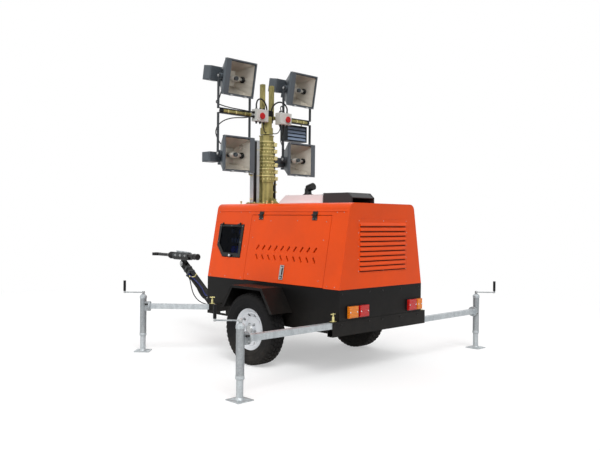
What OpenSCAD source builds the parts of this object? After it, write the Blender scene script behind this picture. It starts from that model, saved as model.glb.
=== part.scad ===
// Towable mobile light tower. Millimetres, +Z up, +X forward to the tow eye, +Y to the left.
// Lengthwise places are distances ahead of the canopy's rear face.

/* [Body] */
// Length of the canopy
canopy_l = 1840; // [1700:10:2000]
// Width of the canopy along its bottom edge
canopy_w = 1146; // [1050:2:1240]
// Width of the canopy where the sides meet the roof curve
shoulder_w = 884; // [800:2:960]
// Height of the canopy's bottom edge above the ground
canopy_z = 748; // [730:1:780]
// Height of the roof above the ground
roof_z = 1490; // [1450:5:1560]
// Radius of the curve between side and roof
roof_r = 62; // [40:1:80]
// Thickness of the lined canopy and door panels
panel_t = 25; // [18:1:32]
// Height of the black skirt's bottom edge above the ground
skirt_z = 370; // [350:5:390]
// Thickness of the skirt plate
skirt_t = 6; // [4:1:8]

/* [Doors and panels] */
// Distance from the rear face to the rear edge of the side doors
door_x = 200; // [160:5:260]
// Length of the side doors
door_l = 1068; // [900:2:1090]
// Height of a side door, measured up the sloping side
door_h = 633; // [600:1:640]
// Gap round doors and lids
door_gap = 5; // [5:0.5:7]
// Slots in one row of a door's air vent
vent_slots = 10; // [6:1:11]
// Louvres on the rear panel
louvres = 10; // [6:1:11]
// Width of the louvred rear panel
rear_panel_w = 700; // [600:10:740]
// Width of the control lid at its top
lid_w = 385; // [340:5:400]
// Height of the control lid up the sloping side
lid_h = 325; // [280:5:330]

/* [Running gear] */
// Distance from the rear face to the axle
axle_x = 930; // [880:5:980]
// Tyre radius
tyre_r = 330; // [315:1:340]
// Tyre width
tyre_w = 190; // [165:1:200]
// Rim radius at the tyre's bead
rim_r = 190; // [178:1:200]
// Distance between the wheels' middle planes
track_w = 1410; // [1390:2:1440]
// Radius of the wheel spindle
spindle_r = 20; // [16:1:24]

/* [Outriggers] */
// Width of a square outrigger beam
beam_w = 50; // [40:1:56]
// Wall of a beam
beam_t = 4; // [3:0.5:5]
// Wall of the square sockets
socket_t = 6; // [4:0.5:7]
// Distance from the middle plane to a rear jack, drawn out
rear_reach = 1605; // [1400:5:1700]
// Distance from the middle plane to a front jack, drawn out
front_reach = 1138; // [1080:2:1200]
// Distance from the rear face to the front jacks
front_jack_x = 2150; // [2100:2:2200]
// Radius of a jack's outer tube
jack_r = 32; // [28:1:36]
// Radius of a jack's inner leg
leg_r = 27; // [22:1:27]
// Width of the square foot plates
foot_w = 150; // [120:2:180]
// Height of the jack tube's lower end above the ground
jack_z = 156; // [140:1:180]
// Length of a jack's outer tube
jack_l = 400; // [380:5:440]
// Reach of a jack's winding crank
crank_r = 190; // [150:5:210]

/* [Towing] */
// Distance from the rear face to the lower drawbar pivot
drawbar_x = 2500; // [2400:5:2560]
// Length of the drawbar arm between its two pivots
arm_l = 745; // [680:5:780]
// Slope of the drawbar arm
arm_slope = 36; // [30:1:42]
// Distance from the upper drawbar pivot to the tip of the tow eye
head_l = 669; // [600:1:700]
// Bore of the tow eye
eye_bore = 68; // [50:1:76]

/* [Mast] */
// Distance from the rear face to the mast's axis
mast_x = 1600; // [1580:5:1640]
// Width across flats of the outer mast section
mast_w = 150; // [146:1:158]
// Wall of a mast section
mast_t = 5; // [4:0.5:5.5]
// Running gap between two mast sections
mast_gap = 3; // [2:0.5:3]
// Height of the lowest collar above the ground
collar_z = 1800; // [1770:5:1840]
// Spacing of the collars
collar_pitch = 72; // [60:1:84]
// Height of the crossbar above the ground
bar_z = 2420; // [2400:5:2480]
// Radius of the turning plate on the roof
turn_r = 215; // [205:1:225]

/* [Floodlights] */
// Distance from the mast's axis to a lamp's middle
lamp_y = 440; // [420:5:500]
// Width of a lamp
lamp_w = 386; // [340:2:400]
// Height of a lamp
lamp_h = 355; // [320:5:370]
// Depth of a lamp's tapered housing
lamp_d = 170; // [140:5:200]
// Distance from the crossbar up to the upper lamps' pivots
yoke_up = 345; // [330:5:380]
// Distance from the crossbar down to the lower lamps' pivots
yoke_down = 430; // [410:5:450]
// Downward tilt of the upper lamps
upper_tilt = 10; // [0:1:15]

/* [Hidden] */
// Clearances: pin in bore, piece on its seat, beam in its socket
pin_gap = 0.1;
seat_gap = 0.3;
slide_gap = 0.3;
$fn = 48;

// Sides lean inward by this angle
lean = atan((canopy_w - shoulder_w) / 2 / (roof_z - canopy_z));
half_w = canopy_w / 2;
slope_h = (roof_z - canopy_z) / cos(lean);

// Chassis
// Depth that welded pieces run into each other
weld = 1;
rail_h = 100;
rail_w = 50;
rail_y = 330;
rail_z = 485;
floor_t = 5;
floor_z = rail_z + rail_h;
socket_w = beam_w + 2 * slide_gap + 2 * socket_t;
upper_beam_z = rail_z - socket_w / 2;
lower_beam_z = upper_beam_z - socket_w;
socket_out = 70;
rear_socket_x = socket_w / 2 + 3;
tongue_w = 100;
tongue_z = 350;
clevis_l = 90;

// Running gear
spindle_y = track_w / 2;
axle_lift = 115;
axle_tube = 80;
axle_lead = 120;
arm_t = 20;
hub_r = 62;

// Outriggers: disc that the jack swivels on
disc_r = 50;
disc_t = 8;
swivel_x = 64;
pin_r = 15;
pin_l = 22;
grip_r = 13;
leg_drop = 150;
leg_hold = 60;
front_angle = 45;
front_mouth = 665;
front_socket_l = 550;
beam_hold = 200;
rear_beam_l = rear_reach - half_w - socket_out + beam_hold;
front_beam_l = front_mouth + beam_hold;

// Columns: name, distance ahead of the rear face, side, beam height, outward direction, crank angle
RIGS = [
    ["rl", rear_socket_x, rear_reach, upper_beam_z, 90, -45, rear_beam_l],
    ["rr", rear_socket_x, -rear_reach, lower_beam_z, -90, -45, rear_beam_l],
    ["fl", front_jack_x, front_reach, upper_beam_z, front_angle, 0, front_beam_l],
    ["fr", front_jack_x, -front_reach, upper_beam_z, -front_angle, 0, front_beam_l]
];

// Mast
stages = 7;
stage_step = 2 * (mast_t + mast_gap);
drum_w = 172;
drum_step = 5;
drum_h = collar_pitch - seat_gap;
stage_foot = floor_z + floor_t + 20;
fork_top = 2757;
bar_r = 20;
head_z = collar_z + (stages - 1) * collar_pitch;

// Lamps. Columns: name, side, up or down, tilt
glass_t = 5;
bezel_d = 30;
yoke_t = 8;
yoke_gap = 6;
LAMPS = [
    ["ul", 1, 1, upper_tilt],
    ["ur", -1, 1, upper_tilt],
    ["ll", 1, -1, 0],
    ["lr", -1, -1, 0]
];

// The frame's origin lies midway between the rear cranks and the tow eye's tip
drawbar_z = tongue_z;
upper_pivot_x = drawbar_x + arm_l * cos(arm_slope);
upper_pivot_z = drawbar_z + arm_l * sin(arm_slope);
tow_tip = upper_pivot_x + head_l;
rear_end = rear_socket_x - max(foot_w / 2, crank_r * sin(45) + grip_r);
shift_x = -(tow_tip + rear_end) / 2;

// Frames and shared shapes

module placed() translate([shift_x, 0, 0]) children();

// Local frame on the sloping side: X forward, Y outward from the skin, Z up the slope
module on_side(side)
    mirror([0, side < 0 ? 1 : 0, 0]) translate([0, half_w, canopy_z]) rotate([lean, 0, 0]) children();

module both_sides() {
    children();
    mirror([0, 1, 0]) children();
}

// Box from a low corner to a high corner
module block(low, high) translate(low) cube(high - low);

// Square tube along X, centred on its axis
module square_tube(length, width, wall) difference() {
    translate([0, -width / 2, -width / 2]) cube([length, width, width]);
    translate([-1, -width / 2 + wall, -width / 2 + wall]) cube([length + 2, width - 2 * wall, width - 2 * wall]);
}

// Rod along Y
module cross_rod(radius, from, to) translate([0, from, 0]) rotate([-90, 0, 0]) cylinder(r = radius, h = to - from);

// Points of an arc in a vertical outline
function arc(cx, cz, r, from, to, steps) =
    [for (i = [0:steps]) [cx + r * cos(from + (to - from) * i / steps), cz + r * sin(from + (to - from) * i / steps)]];

// Cross section of the canopy, inset by the panel thickness when hollowed
module canopy_section(inset, low) {
    cz = roof_z - roof_r;
    cy = half_w - (cz - canopy_z) * tan(lean) - roof_r / cos(lean);
    bottom = half_w - inset / cos(lean) - (low - canopy_z) * tan(lean);
    r = roof_r - inset;
    right = arc(cy, cz, r, lean, 90, 6);
    left = arc(-cy, cz, r, 90, 180 - lean, 6);
    polygon(concat([[bottom, low]], right, left, [[-bottom, low]]));
}

module canopy_bar(inset, low, from, to)
    translate([from, 0, 0]) rotate([90, 0, 90]) linear_extrude(height = to - from) canopy_section(inset, low);

// Body

module chassis() color("#1b1c1e") placed() difference() {
    union() {
        both_sides() difference() {
            block([skirt_t + 1, rail_y - rail_w / 2, rail_z - weld], [canopy_l - skirt_t - 1, rail_y + rail_w / 2, floor_z + weld]);
            block([skirt_t + 9, rail_y - 1, rail_z + 5], [canopy_l - skirt_t - 9, rail_y + rail_w / 2 + 1, floor_z - 6]);
        }
        block([skirt_t + 1, -half_w + skirt_t + 1, floor_z], [canopy_l - skirt_t - 1, half_w - skirt_t - 1, floor_z + floor_t]);
        for (x = [axle_x - 380, axle_x + axle_lead + 80, canopy_l - 70])
            block([x, -rail_y, rail_z - weld], [x + 40, rail_y, floor_z + weld]);
        rear_sockets();
        front_sockets();
        tongue();
    }
    translate([mast_x, 0, floor_z - 1]) cylinder(r = 30 + pin_gap, h = floor_t + 2);
}

module rear_sockets() {
    for (z = [upper_beam_z, lower_beam_z])
        translate([rear_socket_x, -half_w - socket_out, z]) rotate([0, 0, 90])
            square_tube(2 * (half_w + socket_out), socket_w, socket_t);
}

module front_sockets() both_sides()
    translate([front_jack_x, front_reach, upper_beam_z]) rotate([0, 0, front_angle + 180])
        translate([front_mouth, 0, 0]) square_tube(front_socket_l, socket_w, socket_t);

// Tow tube from behind the axle to the lower drawbar pivot, with its clevis
module tongue() {
    rear = axle_x + axle_lead + axle_tube / 2 + 20;
    end = drawbar_x - clevis_l;
    depth = 100;
    wall = 6;
    rotate([90, 0, 0]) translate([0, 0, -tongue_w / 2]) difference() {
        linear_extrude(height = tongue_w) polygon([[rear, rail_z - depth], [canopy_l + 30, rail_z - depth],
            [end, tongue_z - depth / 2], [end, tongue_z + depth / 2], [canopy_l + 60, rail_z], [rear, rail_z]]);
        translate([0, 0, wall]) linear_extrude(height = tongue_w - 2 * wall) polygon([[rear + wall, rail_z - depth + wall],
            [canopy_l + 30, rail_z - depth + wall], [end - wall, tongue_z - depth / 2 + wall],
            [end - wall, tongue_z + depth / 2 - wall], [canopy_l + 60, rail_z - wall], [rear + wall, rail_z - wall]]);
    }
    both_sides() {
        block([end - 1, 38, tongue_z - 40], [drawbar_x, 49, tongue_z + 40]);
        translate([drawbar_x, 38, tongue_z]) cross_rod(45, 0, 11);
    }
    translate([drawbar_x, 0, tongue_z]) cross_rod(pin_r, -60, 60);
}

module skirt() color("#151517") placed() difference() {
    block([0, -half_w, skirt_z], [canopy_l, half_w, canopy_z - seat_gap]);
    block([skirt_t, -half_w + skirt_t, skirt_z - 1], [canopy_l - skirt_t, half_w - skirt_t, canopy_z + 1]);
    translate([rear_socket_x - socket_w / 2 - 3 - 1, -half_w - 1, skirt_z - 1])
        cube([socket_w + 7, canopy_w + 2, upper_beam_z + socket_w / 2 + 3 - skirt_z + 1]);
    both_sides() {
        translate([front_jack_x, front_reach, upper_beam_z]) rotate([0, 0, front_angle + 180])
            translate([front_mouth, -socket_w / 2 - 3, -socket_w])
                cube([front_socket_l, socket_w + 6, 1.5 * socket_w + 3]);
        block([axle_x - 75, half_w - skirt_t - 1, skirt_z - 1],
            [axle_x + axle_lead + axle_tube / 2 + door_gap, half_w + 1, tyre_r + axle_lift + axle_tube / 2 + door_gap]);
    }
    block([canopy_l - skirt_t - 1, -tongue_w / 2 - 3, skirt_z - 1], [canopy_l + 1, tongue_w / 2 + 3, rail_z + 3]);
}

module axle() color("#2a2b2d") placed() both_sides() {
    tube_z = rail_z - weld - axle_tube / 2;
    difference() {
        block([axle_x + axle_lead - axle_tube / 2, 0, tube_z - axle_tube / 2],
            [axle_x + axle_lead + axle_tube / 2, half_w + 2, tube_z + axle_tube / 2]);
        block([axle_x + axle_lead - axle_tube / 2 + 6, -1, tube_z - axle_tube / 2 + 6],
            [axle_x + axle_lead + axle_tube / 2 - 6, half_w - 20, tube_z + axle_tube / 2 - 6]);
    }
    translate([0, half_w + 2, 0]) rotate([-90, 0, 0]) linear_extrude(height = arm_t)
        polygon([[axle_x + axle_lead + 40, -tube_z + 36], [axle_x + axle_lead + 40, -tube_z - 36],
            [axle_x + axle_lead - 40, -tube_z - 40], [axle_x - 36, -tyre_r - 26],
            [axle_x - 36, -tyre_r + 36], [axle_x + 30, -tyre_r + 40]]);
    translate([axle_x, 0, tyre_r]) cross_rod(spindle_r, half_w + arm_t, spindle_y + 28);
}

// Angular mudguards with a turned-down outer lip
module fenders() color("#17181a") placed() both_sides() {
    inner = half_w + seat_gap;
    outer = spindle_y + tyre_w / 2 + 18;
    top = 722;
    foot = 505;
    sheet = 5;
    band = [[axle_x - 360, foot], [axle_x - 215, top], [axle_x + 215, top], [axle_x + 360, foot]];
    under = [[axle_x - 360 + sheet * 1.8, foot], [axle_x - 215 + sheet * 0.8, top - sheet],
        [axle_x + 215 - sheet * 0.8, top - sheet], [axle_x + 360 - sheet * 1.8, foot]];
    lip = 22;
    rotate([90, 0, 0]) translate([0, 0, -outer]) {
        linear_extrude(height = outer - inner) difference() {
            polygon(band);
            polygon(concat([[axle_x - 361 + sheet * 1.8, foot - 1]], under, [[axle_x + 361 - sheet * 1.8, foot - 1]]));
        }
        linear_extrude(height = sheet) difference() {
            polygon(band);
            polygon([[axle_x - 360 + lip * 1.5, foot - 1], [axle_x - 215 + lip * 0.8, top - lip],
                [axle_x + 215 - lip * 0.8, top - lip], [axle_x + 360 - lip * 1.5, foot - 1]]);
        }
        translate([0, 0, outer - inner - sheet]) linear_extrude(height = sheet) difference() {
            polygon(band);
            polygon([[axle_x - 360 + lip * 1.5, foot - 1], [axle_x - 215 + lip * 0.8, top - lip],
                [axle_x + 215 - lip * 0.8, top - lip], [axle_x + 360 - lip * 1.5, foot - 1]]);
        }
    }
}

rear_panel_z = 880;
rear_panel_h = 470;
lid_x = 1370;
lid_z = 215;
lid_proud = 5;

module door_cut(side) on_side(side)
    block([door_x - door_gap, -2 * panel_t, -20], [door_x + door_l + door_gap, panel_t, door_h + 2 * door_gap]);

// Outline of the control lid: straight sides, then narrowing to the bottom edge
module lid_outline(grow) {
    w = lid_w / 2 + grow;
    polygon([[lid_w / 2 - w, lid_h + grow], [lid_w / 2 + w, lid_h + grow], [lid_w / 2 + w, lid_h * 0.34],
        [lid_w * 0.72 + grow * 0.6, -grow], [-grow + 0, -grow]]);
}

module on_lid(from, to) on_side(1) translate([lid_x, to, lid_z]) rotate([90, 0, 0])
    linear_extrude(height = to - from) children();

module canopy() color("#e8541a") placed() difference() {
    canopy_bar(0, canopy_z, 0, canopy_l);
    canopy_bar(panel_t, canopy_z - 1, panel_t, canopy_l - panel_t);
    door_cut(1);
    door_cut(-1);
    block([-1, -rear_panel_w / 2, rear_panel_z], [panel_t + 1, rear_panel_w / 2, rear_panel_z + rear_panel_h]);
    on_lid(-2 * panel_t, panel_t) lid_outline(door_gap);
    translate([mast_x, 0, roof_z - 60]) cylinder(r = turn_r - 40, h = 80);
}

// Louvred panel that fills the opening in the rear wall
module rear_panel() color("#e8541a") placed() {
    edge = seat_gap;
    half = rear_panel_w / 2 - edge;
    low = rear_panel_z + edge;
    high = rear_panel_z + rear_panel_h - edge;
    pitch = (rear_panel_h - 40) / louvres;
    slot_w = rear_panel_w - 60;
    hood = 11;
    difference() {
        block([0, -half, low], [panel_t, half, high]);
        block([3, -half + 12, low + 12], [panel_t + 1, half - 12, high - 12]);
        for (i = [0:louvres - 1])
            block([-1, -slot_w / 2 + 4, low + 20 + i * pitch], [5, slot_w / 2 - 4, low + 20 + i * pitch + pitch * 0.45]);
    }
    for (i = [0:louvres - 1]) translate([0, slot_w / 2, low + 20 + i * pitch]) rotate([90, 0, 0]) difference() {
        linear_extrude(height = slot_w) polygon([[0, pitch * 0.72], [-hood, pitch * 0.3], [-hood, 0], [0, 0]]);
        translate([0, 0, 3]) linear_extrude(height = slot_w - 6)
            polygon([[1, pitch * 0.72 - 5], [0, pitch * 0.72 - 5], [-hood + 3, pitch * 0.3 - 2], [-hood + 3, -1], [1, -1]]);
    }
}

// Door slab in its local frame, with two rows of slanted vent slots
module door_panel(side) on_side(side) difference() {
    block([door_x, -panel_t, door_gap], [door_x + door_l, 0, door_h + door_gap]);
    slot_pitch = 86;
    slot_l = 58;
    first = door_x + door_l / 2 - (vent_slots - 1) * slot_pitch / 2;
    for (row = [0, 1]) for (i = [0:vent_slots - 1])
        translate([first + i * slot_pitch, 0, 235 + row * 90]) rotate([0, row == 0 ? 35 : -35, 0])
            block([-9, -panel_t - 1, -slot_l / 2], [9, 1, slot_l / 2]);
}

module door_left() color("#e8541a") placed() door_panel(1);
module door_right() color("#e8541a") placed() door_panel(-1);

hinge_r = 8;
hinge_pin_r = 4;
hinge_l = 60;
hinge_out = hinge_r + 4;
hinge_up = door_h + door_gap + door_gap / 2;
HINGE_AT = [0.19, 0.87];

// Fixed leaves above the doors, with their pins
module hinge_leaves() color("#1a1a1a") placed() for (side = [1, -1]) on_side(side) {
    for (share = HINGE_AT) translate([door_x + door_l * share, 0, 0]) {
        block([-hinge_l / 2, seat_gap, hinge_up + door_gap / 2 + 1], [hinge_l / 2, 4, hinge_up + 42]);
        for (end = [-hinge_l / 2, hinge_l / 2 - 18]) {
            translate([end, hinge_out, hinge_up]) rotate([0, 90, 0]) cylinder(r = hinge_r, h = 18);
            block([end, seat_gap, hinge_up + door_gap / 2 + 1], [end + 18, hinge_out, hinge_up + hinge_r]);
        }
        translate([-hinge_l / 2, hinge_out, hinge_up]) rotate([0, 90, 0]) cylinder(r = hinge_pin_r, h = hinge_l);
    }
    if (side > 0) translate([lid_x + lid_w / 2, 0, lid_z + lid_h]) for (end = [-lid_w * 0.38, lid_w * 0.38 - 18]) {
        block([end, seat_gap, door_gap + 2], [end + 18, hinge_out, door_gap + 14]);
        translate([end, hinge_out, door_gap / 2]) rotate([0, 90, 0]) cylinder(r = 6, h = 18);
        translate([end, hinge_out, door_gap / 2]) rotate([0, 90, 0]) cylinder(r = 3, h = 40);
    }
}

// Moving leaves and the latch of one door
module door_fittings(side) on_side(side) {
    for (share = HINGE_AT) translate([door_x + door_l * share, 0, 0]) difference() {
        union() {
            block([-hinge_l / 2, seat_gap, hinge_up - 46], [hinge_l / 2, 4, hinge_up - hinge_r - 1]);
            block([-hinge_l / 2 + 19, seat_gap, hinge_up - hinge_r - 2], [hinge_l / 2 - 19, hinge_out, hinge_up - door_gap / 2]);
            translate([-hinge_l / 2 + 19, hinge_out, hinge_up]) rotate([0, 90, 0]) cylinder(r = hinge_r, h = hinge_l - 38);
        }
        translate([-hinge_l / 2 - 1, hinge_out, hinge_up]) rotate([0, 90, 0])
            cylinder(r = hinge_pin_r + pin_gap, h = hinge_l + 2);
    }
    translate([door_x + door_l / 2 - 22, 0, 40]) {
        difference() {
            block([0, seat_gap, 0], [44, 7, 130]);
            block([7, 3, 26], [37, 8, 120]);
        }
        block([13, 3, 34], [31, 12, 112]);
        translate([22, seat_gap, 13]) rotate([-90, 0, 0]) cylinder(r = 8, h = 12);
    }
}

module door_fittings_left() color("#26272a") placed() door_fittings(1);
module door_fittings_right() color("#26272a") placed() door_fittings(-1);

// Black lid frame with the window cut through it
module control_lid() color("#121214") placed() difference() {
    union() {
        on_lid(-8, lid_proud) lid_outline(0);
        on_side(1) translate([lid_x + lid_w / 2, 0, lid_z + lid_h]) for (end = [-lid_w * 0.38 + 19, lid_w * 0.38 + 1]) {
            block([end, 0, -8], [end + 18, hinge_out, -3 + door_gap / 2]);
            translate([end, hinge_out, door_gap / 2]) rotate([0, 90, 0]) cylinder(r = 6, h = 18);
        }
        on_side(1) block([lid_x + lid_w * 0.32, 4, lid_z + 4], [lid_x + lid_w * 0.32 + 40, 14, lid_z + 20]);
    }
    on_lid(-20, 20) translate([lid_w * 0.09, lid_h * 0.12]) scale(0.82) lid_outline(0);
    on_side(1) translate([lid_x + lid_w / 2 - lid_w * 0.38 - 1, hinge_out, lid_z + lid_h + door_gap / 2])
        rotate([0, 90, 0]) cylinder(r = 3 + pin_gap, h = lid_w);
}

module control_glass() color("#30363c", 0.5) placed()
    on_lid(-3, 1) translate([lid_w * 0.09, lid_h * 0.12]) scale(0.82) lid_outline(-seat_gap / 2);

// Recessed box behind the lid with sockets, breakers and gauges
module control_panel() color("#1d2024") placed() {
    on_side(1) difference() {
        block([lid_x - 20, -150, lid_z - 15], [lid_x + lid_w + 20, -panel_t - seat_gap, lid_z + lid_h + 15]);
        block([lid_x - 14, -144, lid_z - 9], [lid_x + lid_w + 14, -panel_t + 1, lid_z + lid_h + 9]);
    }
    on_side(1) {
        for (col = [0, 1, 2]) translate([lid_x + 90 + col * 78, -144, lid_z + 78]) rotate([-90, 0, 0]) cylinder(r = 30, h = 45);
        for (col = [0:5]) block([lid_x + 60 + col * 44, -144, lid_z + 150], [lid_x + 90 + col * 44, -115, lid_z + 215]);
        block([lid_x + 90, -144, lid_z + 240], [lid_x + 230, -120, lid_z + 300]);
        translate([lid_x + 290, -144, lid_z + 270]) rotate([-90, 0, 0]) cylinder(r = 20, h = 40);
    }
}

// Lamps across the rear, below the canopy. Columns: side, distance from the middle plane to its edges
TAIL_RED = [[1, 214, 336], [-1, 352, 473]];
TAIL_AMBER = [[1, 356, 476], [-1, 484, 560]];
module tail_lamps(list) placed() for (lamp = list) for (z = [506]) {
    y0 = lamp[0] > 0 ? lamp[1] : -lamp[2];
    block([-26, y0, z], [-seat_gap, y0 + lamp[2] - lamp[1], z + 100]);
    block([-30, y0 + 6, z + 6], [-26, y0 + lamp[2] - lamp[1] - 6, z + 94]);
}
module tail_lamps_red() color("#b01818") tail_lamps(TAIL_RED);
module tail_lamps_amber() color("#e08a18") tail_lamps(TAIL_AMBER);

// Roof fittings
hood_w = 320;
module roof_hood() color("#141416") placed() translate([0, hood_w / 2, 0]) rotate([90, 0, 0]) difference() {
    linear_extrude(height = hood_w) polygon([[244, roof_z + seat_gap], [244, roof_z + 58], [290, roof_z + 98],
        [600, roof_z + 98], [600, roof_z + seat_gap]]);
    translate([0, 0, 5]) linear_extrude(height = hood_w - 10) polygon([[243, roof_z - 1], [243, roof_z + 50],
        [292, roof_z + 93], [595, roof_z + 93], [595, roof_z - 1]]);
}

module silencer_box() color("#e6e6e4") placed() translate([0, hood_w / 2, 0]) rotate([90, 0, 0])
    linear_extrude(height = hood_w) polygon([[610, roof_z + seat_gap], [610, roof_z + 88], [1120, roof_z + 88],
        [1215, roof_z + 20], [1215, roof_z + seat_gap]]);

module exhaust_elbow() color("#1c1c1e") placed() translate([965, 0, roof_z + 88 + seat_gap]) {
    cylinder(r = 52, h = 12);
    cylinder(r = 34, h = 70);
    translate([0, 0, 70]) rotate([0, -75, 0]) cylinder(r = 36, h = 78);
}

module engine_block() color("#3a3d40") placed()
    block([280, -260, floor_z + floor_t + seat_gap], [1180, 260, 1180]);

module roof_ring() color("#c8501e") placed() translate([mast_x, 0, roof_z + seat_gap]) difference() {
    cylinder(r = turn_r, h = 8);
    translate([0, 0, -1]) cylinder(r = 100 + pin_gap, h = 10);
}

// Spring latches that lock the beams in their sockets: foot, spring housing, plunger and cross grip
module beam_latch() translate([0, 0, seat_gap]) {
    translate([-24, -16, 0]) cube([48, 32, 5]);
    cylinder(r = 11, h = 42);
    cylinder(r = 6, h = 72);
    translate([-26, 0, 64]) rotate([0, 90, 0]) cylinder(r = 5, h = 52);
}

module beam_latches() color("#c9c49a") placed() {
    for (side = [1, -1]) {
        translate([rear_socket_x, side * (half_w + 34), upper_beam_z + socket_w / 2]) rotate([0, 0, 90]) beam_latch();
        translate([front_jack_x, side * front_reach, upper_beam_z + socket_w / 2])
            rotate([0, 0, side * front_angle + 180]) translate([front_mouth + 30, 0, 0]) beam_latch();
    }
}

// Wheels

module wheel_place(side) translate([axle_x, side * spindle_y, tyre_r]) rotate([side > 0 ? -90 : 90, 0, 0]) children();

module tyre() {
    half = tyre_w / 2;
    rotate_extrude($fn = 64) polygon([[rim_r + seat_gap, -half * 0.72], [rim_r + 22, -half * 0.92], [rim_r + 70, -half],
        [tyre_r - 40, -half * 0.97], [tyre_r - 12, -half * 0.84], [tyre_r, -half * 0.62], [tyre_r, half * 0.62],
        [tyre_r - 12, half * 0.84], [tyre_r - 40, half * 0.97], [rim_r + 70, half], [rim_r + 22, half * 0.92],
        [rim_r + seat_gap, half * 0.72]]);
}

module tyre_left() color("#19191a") placed() wheel_place(1) tyre();
module tyre_right() color("#19191a") placed() wheel_place(-1) tyre();

// Local Z points outward along the axle
module rim() {
    half = tyre_w / 2 * 0.72;
    disc_z = 28;
    holes = 10;
    difference() {
        union() {
            rotate_extrude($fn = 64) polygon([[rim_r - 6, -half + 2], [rim_r, -half], [rim_r, half], [rim_r - 6, half - 2],
                [rim_r - 34, disc_z + 14], [rim_r - 46, disc_z + 16], [112, disc_z - 6], [hub_r + 20, disc_z],
                [hub_r, disc_z + 6], [44, disc_z + 6], [44, disc_z + 30], [30, disc_z + 38], [0, disc_z + 38],
                [0, disc_z - 60], [44, disc_z - 60], [44, disc_z - 6], [hub_r + 16, disc_z - 6],
                [112, disc_z - 14], [rim_r - 46, disc_z + 6], [rim_r - 28, disc_z], [rim_r - 12, half - 30],
                [rim_r - 12, -half + 12]]);
        }
        for (i = [0:holes - 1]) rotate([0, 0, i * 360 / holes]) translate([132, 0, disc_z - 40]) cylinder(r = 14, h = 80);
        translate([0, 0, -disc_z - 61]) cylinder(r = spindle_r + pin_gap, h = disc_z + 62 + 30);
    }
}

module rim_left() color("#b9bcc0") placed() wheel_place(1) rim();
module rim_right() color("#b9bcc0") placed() wheel_place(-1) rim();

// Outriggers: local X runs outward along the beam, the jack stands at the origin

module rig(row) placed() translate([row[1], row[2], row[3]]) rotate([0, 0, row[4]]) children();

module beam(row) color("#b4b8ba") rig(row) {
    inner = -row[6];
    translate([inner, 0, 0]) square_tube(row[6] - swivel_x - disc_t - seat_gap, beam_w, beam_t);
    translate([-swivel_x - disc_t - seat_gap, 0, 0]) rotate([0, 90, 0]) cylinder(r = disc_r, h = disc_t);
    translate([-swivel_x - disc_t - seat_gap, 0, 0]) rotate([0, 90, 0]) cylinder(r = pin_r, h = disc_t + pin_l);
}

module jack(row) color("#b4b8ba") rig(row) {
    low = jack_z - row[3];
    difference() {
        union() {
            translate([0, 0, low]) cylinder(r = jack_r, h = jack_l);
            translate([-swivel_x, 0, 0]) rotate([0, 90, 0]) cylinder(r = disc_r, h = disc_t);
            translate([-swivel_x + disc_t, -26, -45]) cube([swivel_x - disc_t - 14, 52, 90]);
        }
        translate([0, 0, low - 1]) cylinder(r = leg_r + pin_gap, h = jack_l - 11);
        translate([-swivel_x - 1, 0, 0]) rotate([0, 90, 0]) cylinder(r = pin_r + pin_gap, h = pin_l + 1.3);
    }
    translate([0, 0, low + jack_l]) {
        cylinder(r1 = jack_r, r2 = 16, h = 14);
        cylinder(r = 12, h = 44);
        rotate([0, 0, row[5]]) {
            translate([0, 0, 34]) rotate([0, 90, 0]) cylinder(r = 6, h = crank_r);
            translate([crank_r, 0, 26]) cylinder(r = 7, h = 24);
            translate([crank_r, 0, 46]) cylinder(r = grip_r, h = 105);
        }
    }
}

module leg(row) color("#c4c7c9") rig(row) {
    translate([-foot_w / 2, -foot_w / 2, -row[3]]) cube([foot_w, foot_w, 8]);
    translate([0, 0, 8 - row[3]]) cylinder(r = leg_r, h = jack_z - 8 + leg_drop + leg_hold);
    translate([0, 0, 8 - row[3]]) cylinder(r1 = leg_r + 12, r2 = leg_r, h = 16);
}

module beam_rl() beam(RIGS[0]);
module beam_rr() beam(RIGS[1]);
module beam_fl() beam(RIGS[2]);
module beam_fr() beam(RIGS[3]);
module jack_rl() jack(RIGS[0]);
module jack_rr() jack(RIGS[1]);
module jack_fl() jack(RIGS[2]);
module jack_fr() jack(RIGS[3]);
module leg_rl() leg(RIGS[0]);
module leg_rr() leg(RIGS[1]);
module leg_fl() leg(RIGS[2]);
module leg_fr() leg(RIGS[3]);

// Drawbar: local X runs up the arm from the lower pivot

module drawbar_arm() color("#1e1f21") placed() translate([drawbar_x, 0, drawbar_z]) rotate([0, -arm_slope, 0]) difference() {
    union() {
        cross_rod(40, -37, 37);
        block([0, -37, -34], [arm_l - 62, 37, 34]);
        for (y = [-37, 25]) {
            translate([0, y, 0]) block([arm_l - 70, 0, -34], [arm_l, 12, 34]);
            translate([arm_l, y, 0]) cross_rod(34, 0, 12);
        }
        translate([arm_l, 0, 0]) cross_rod(pin_r, -44, 44);
    }
    cross_rod(pin_r + pin_gap, -61, 61);
}

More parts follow.
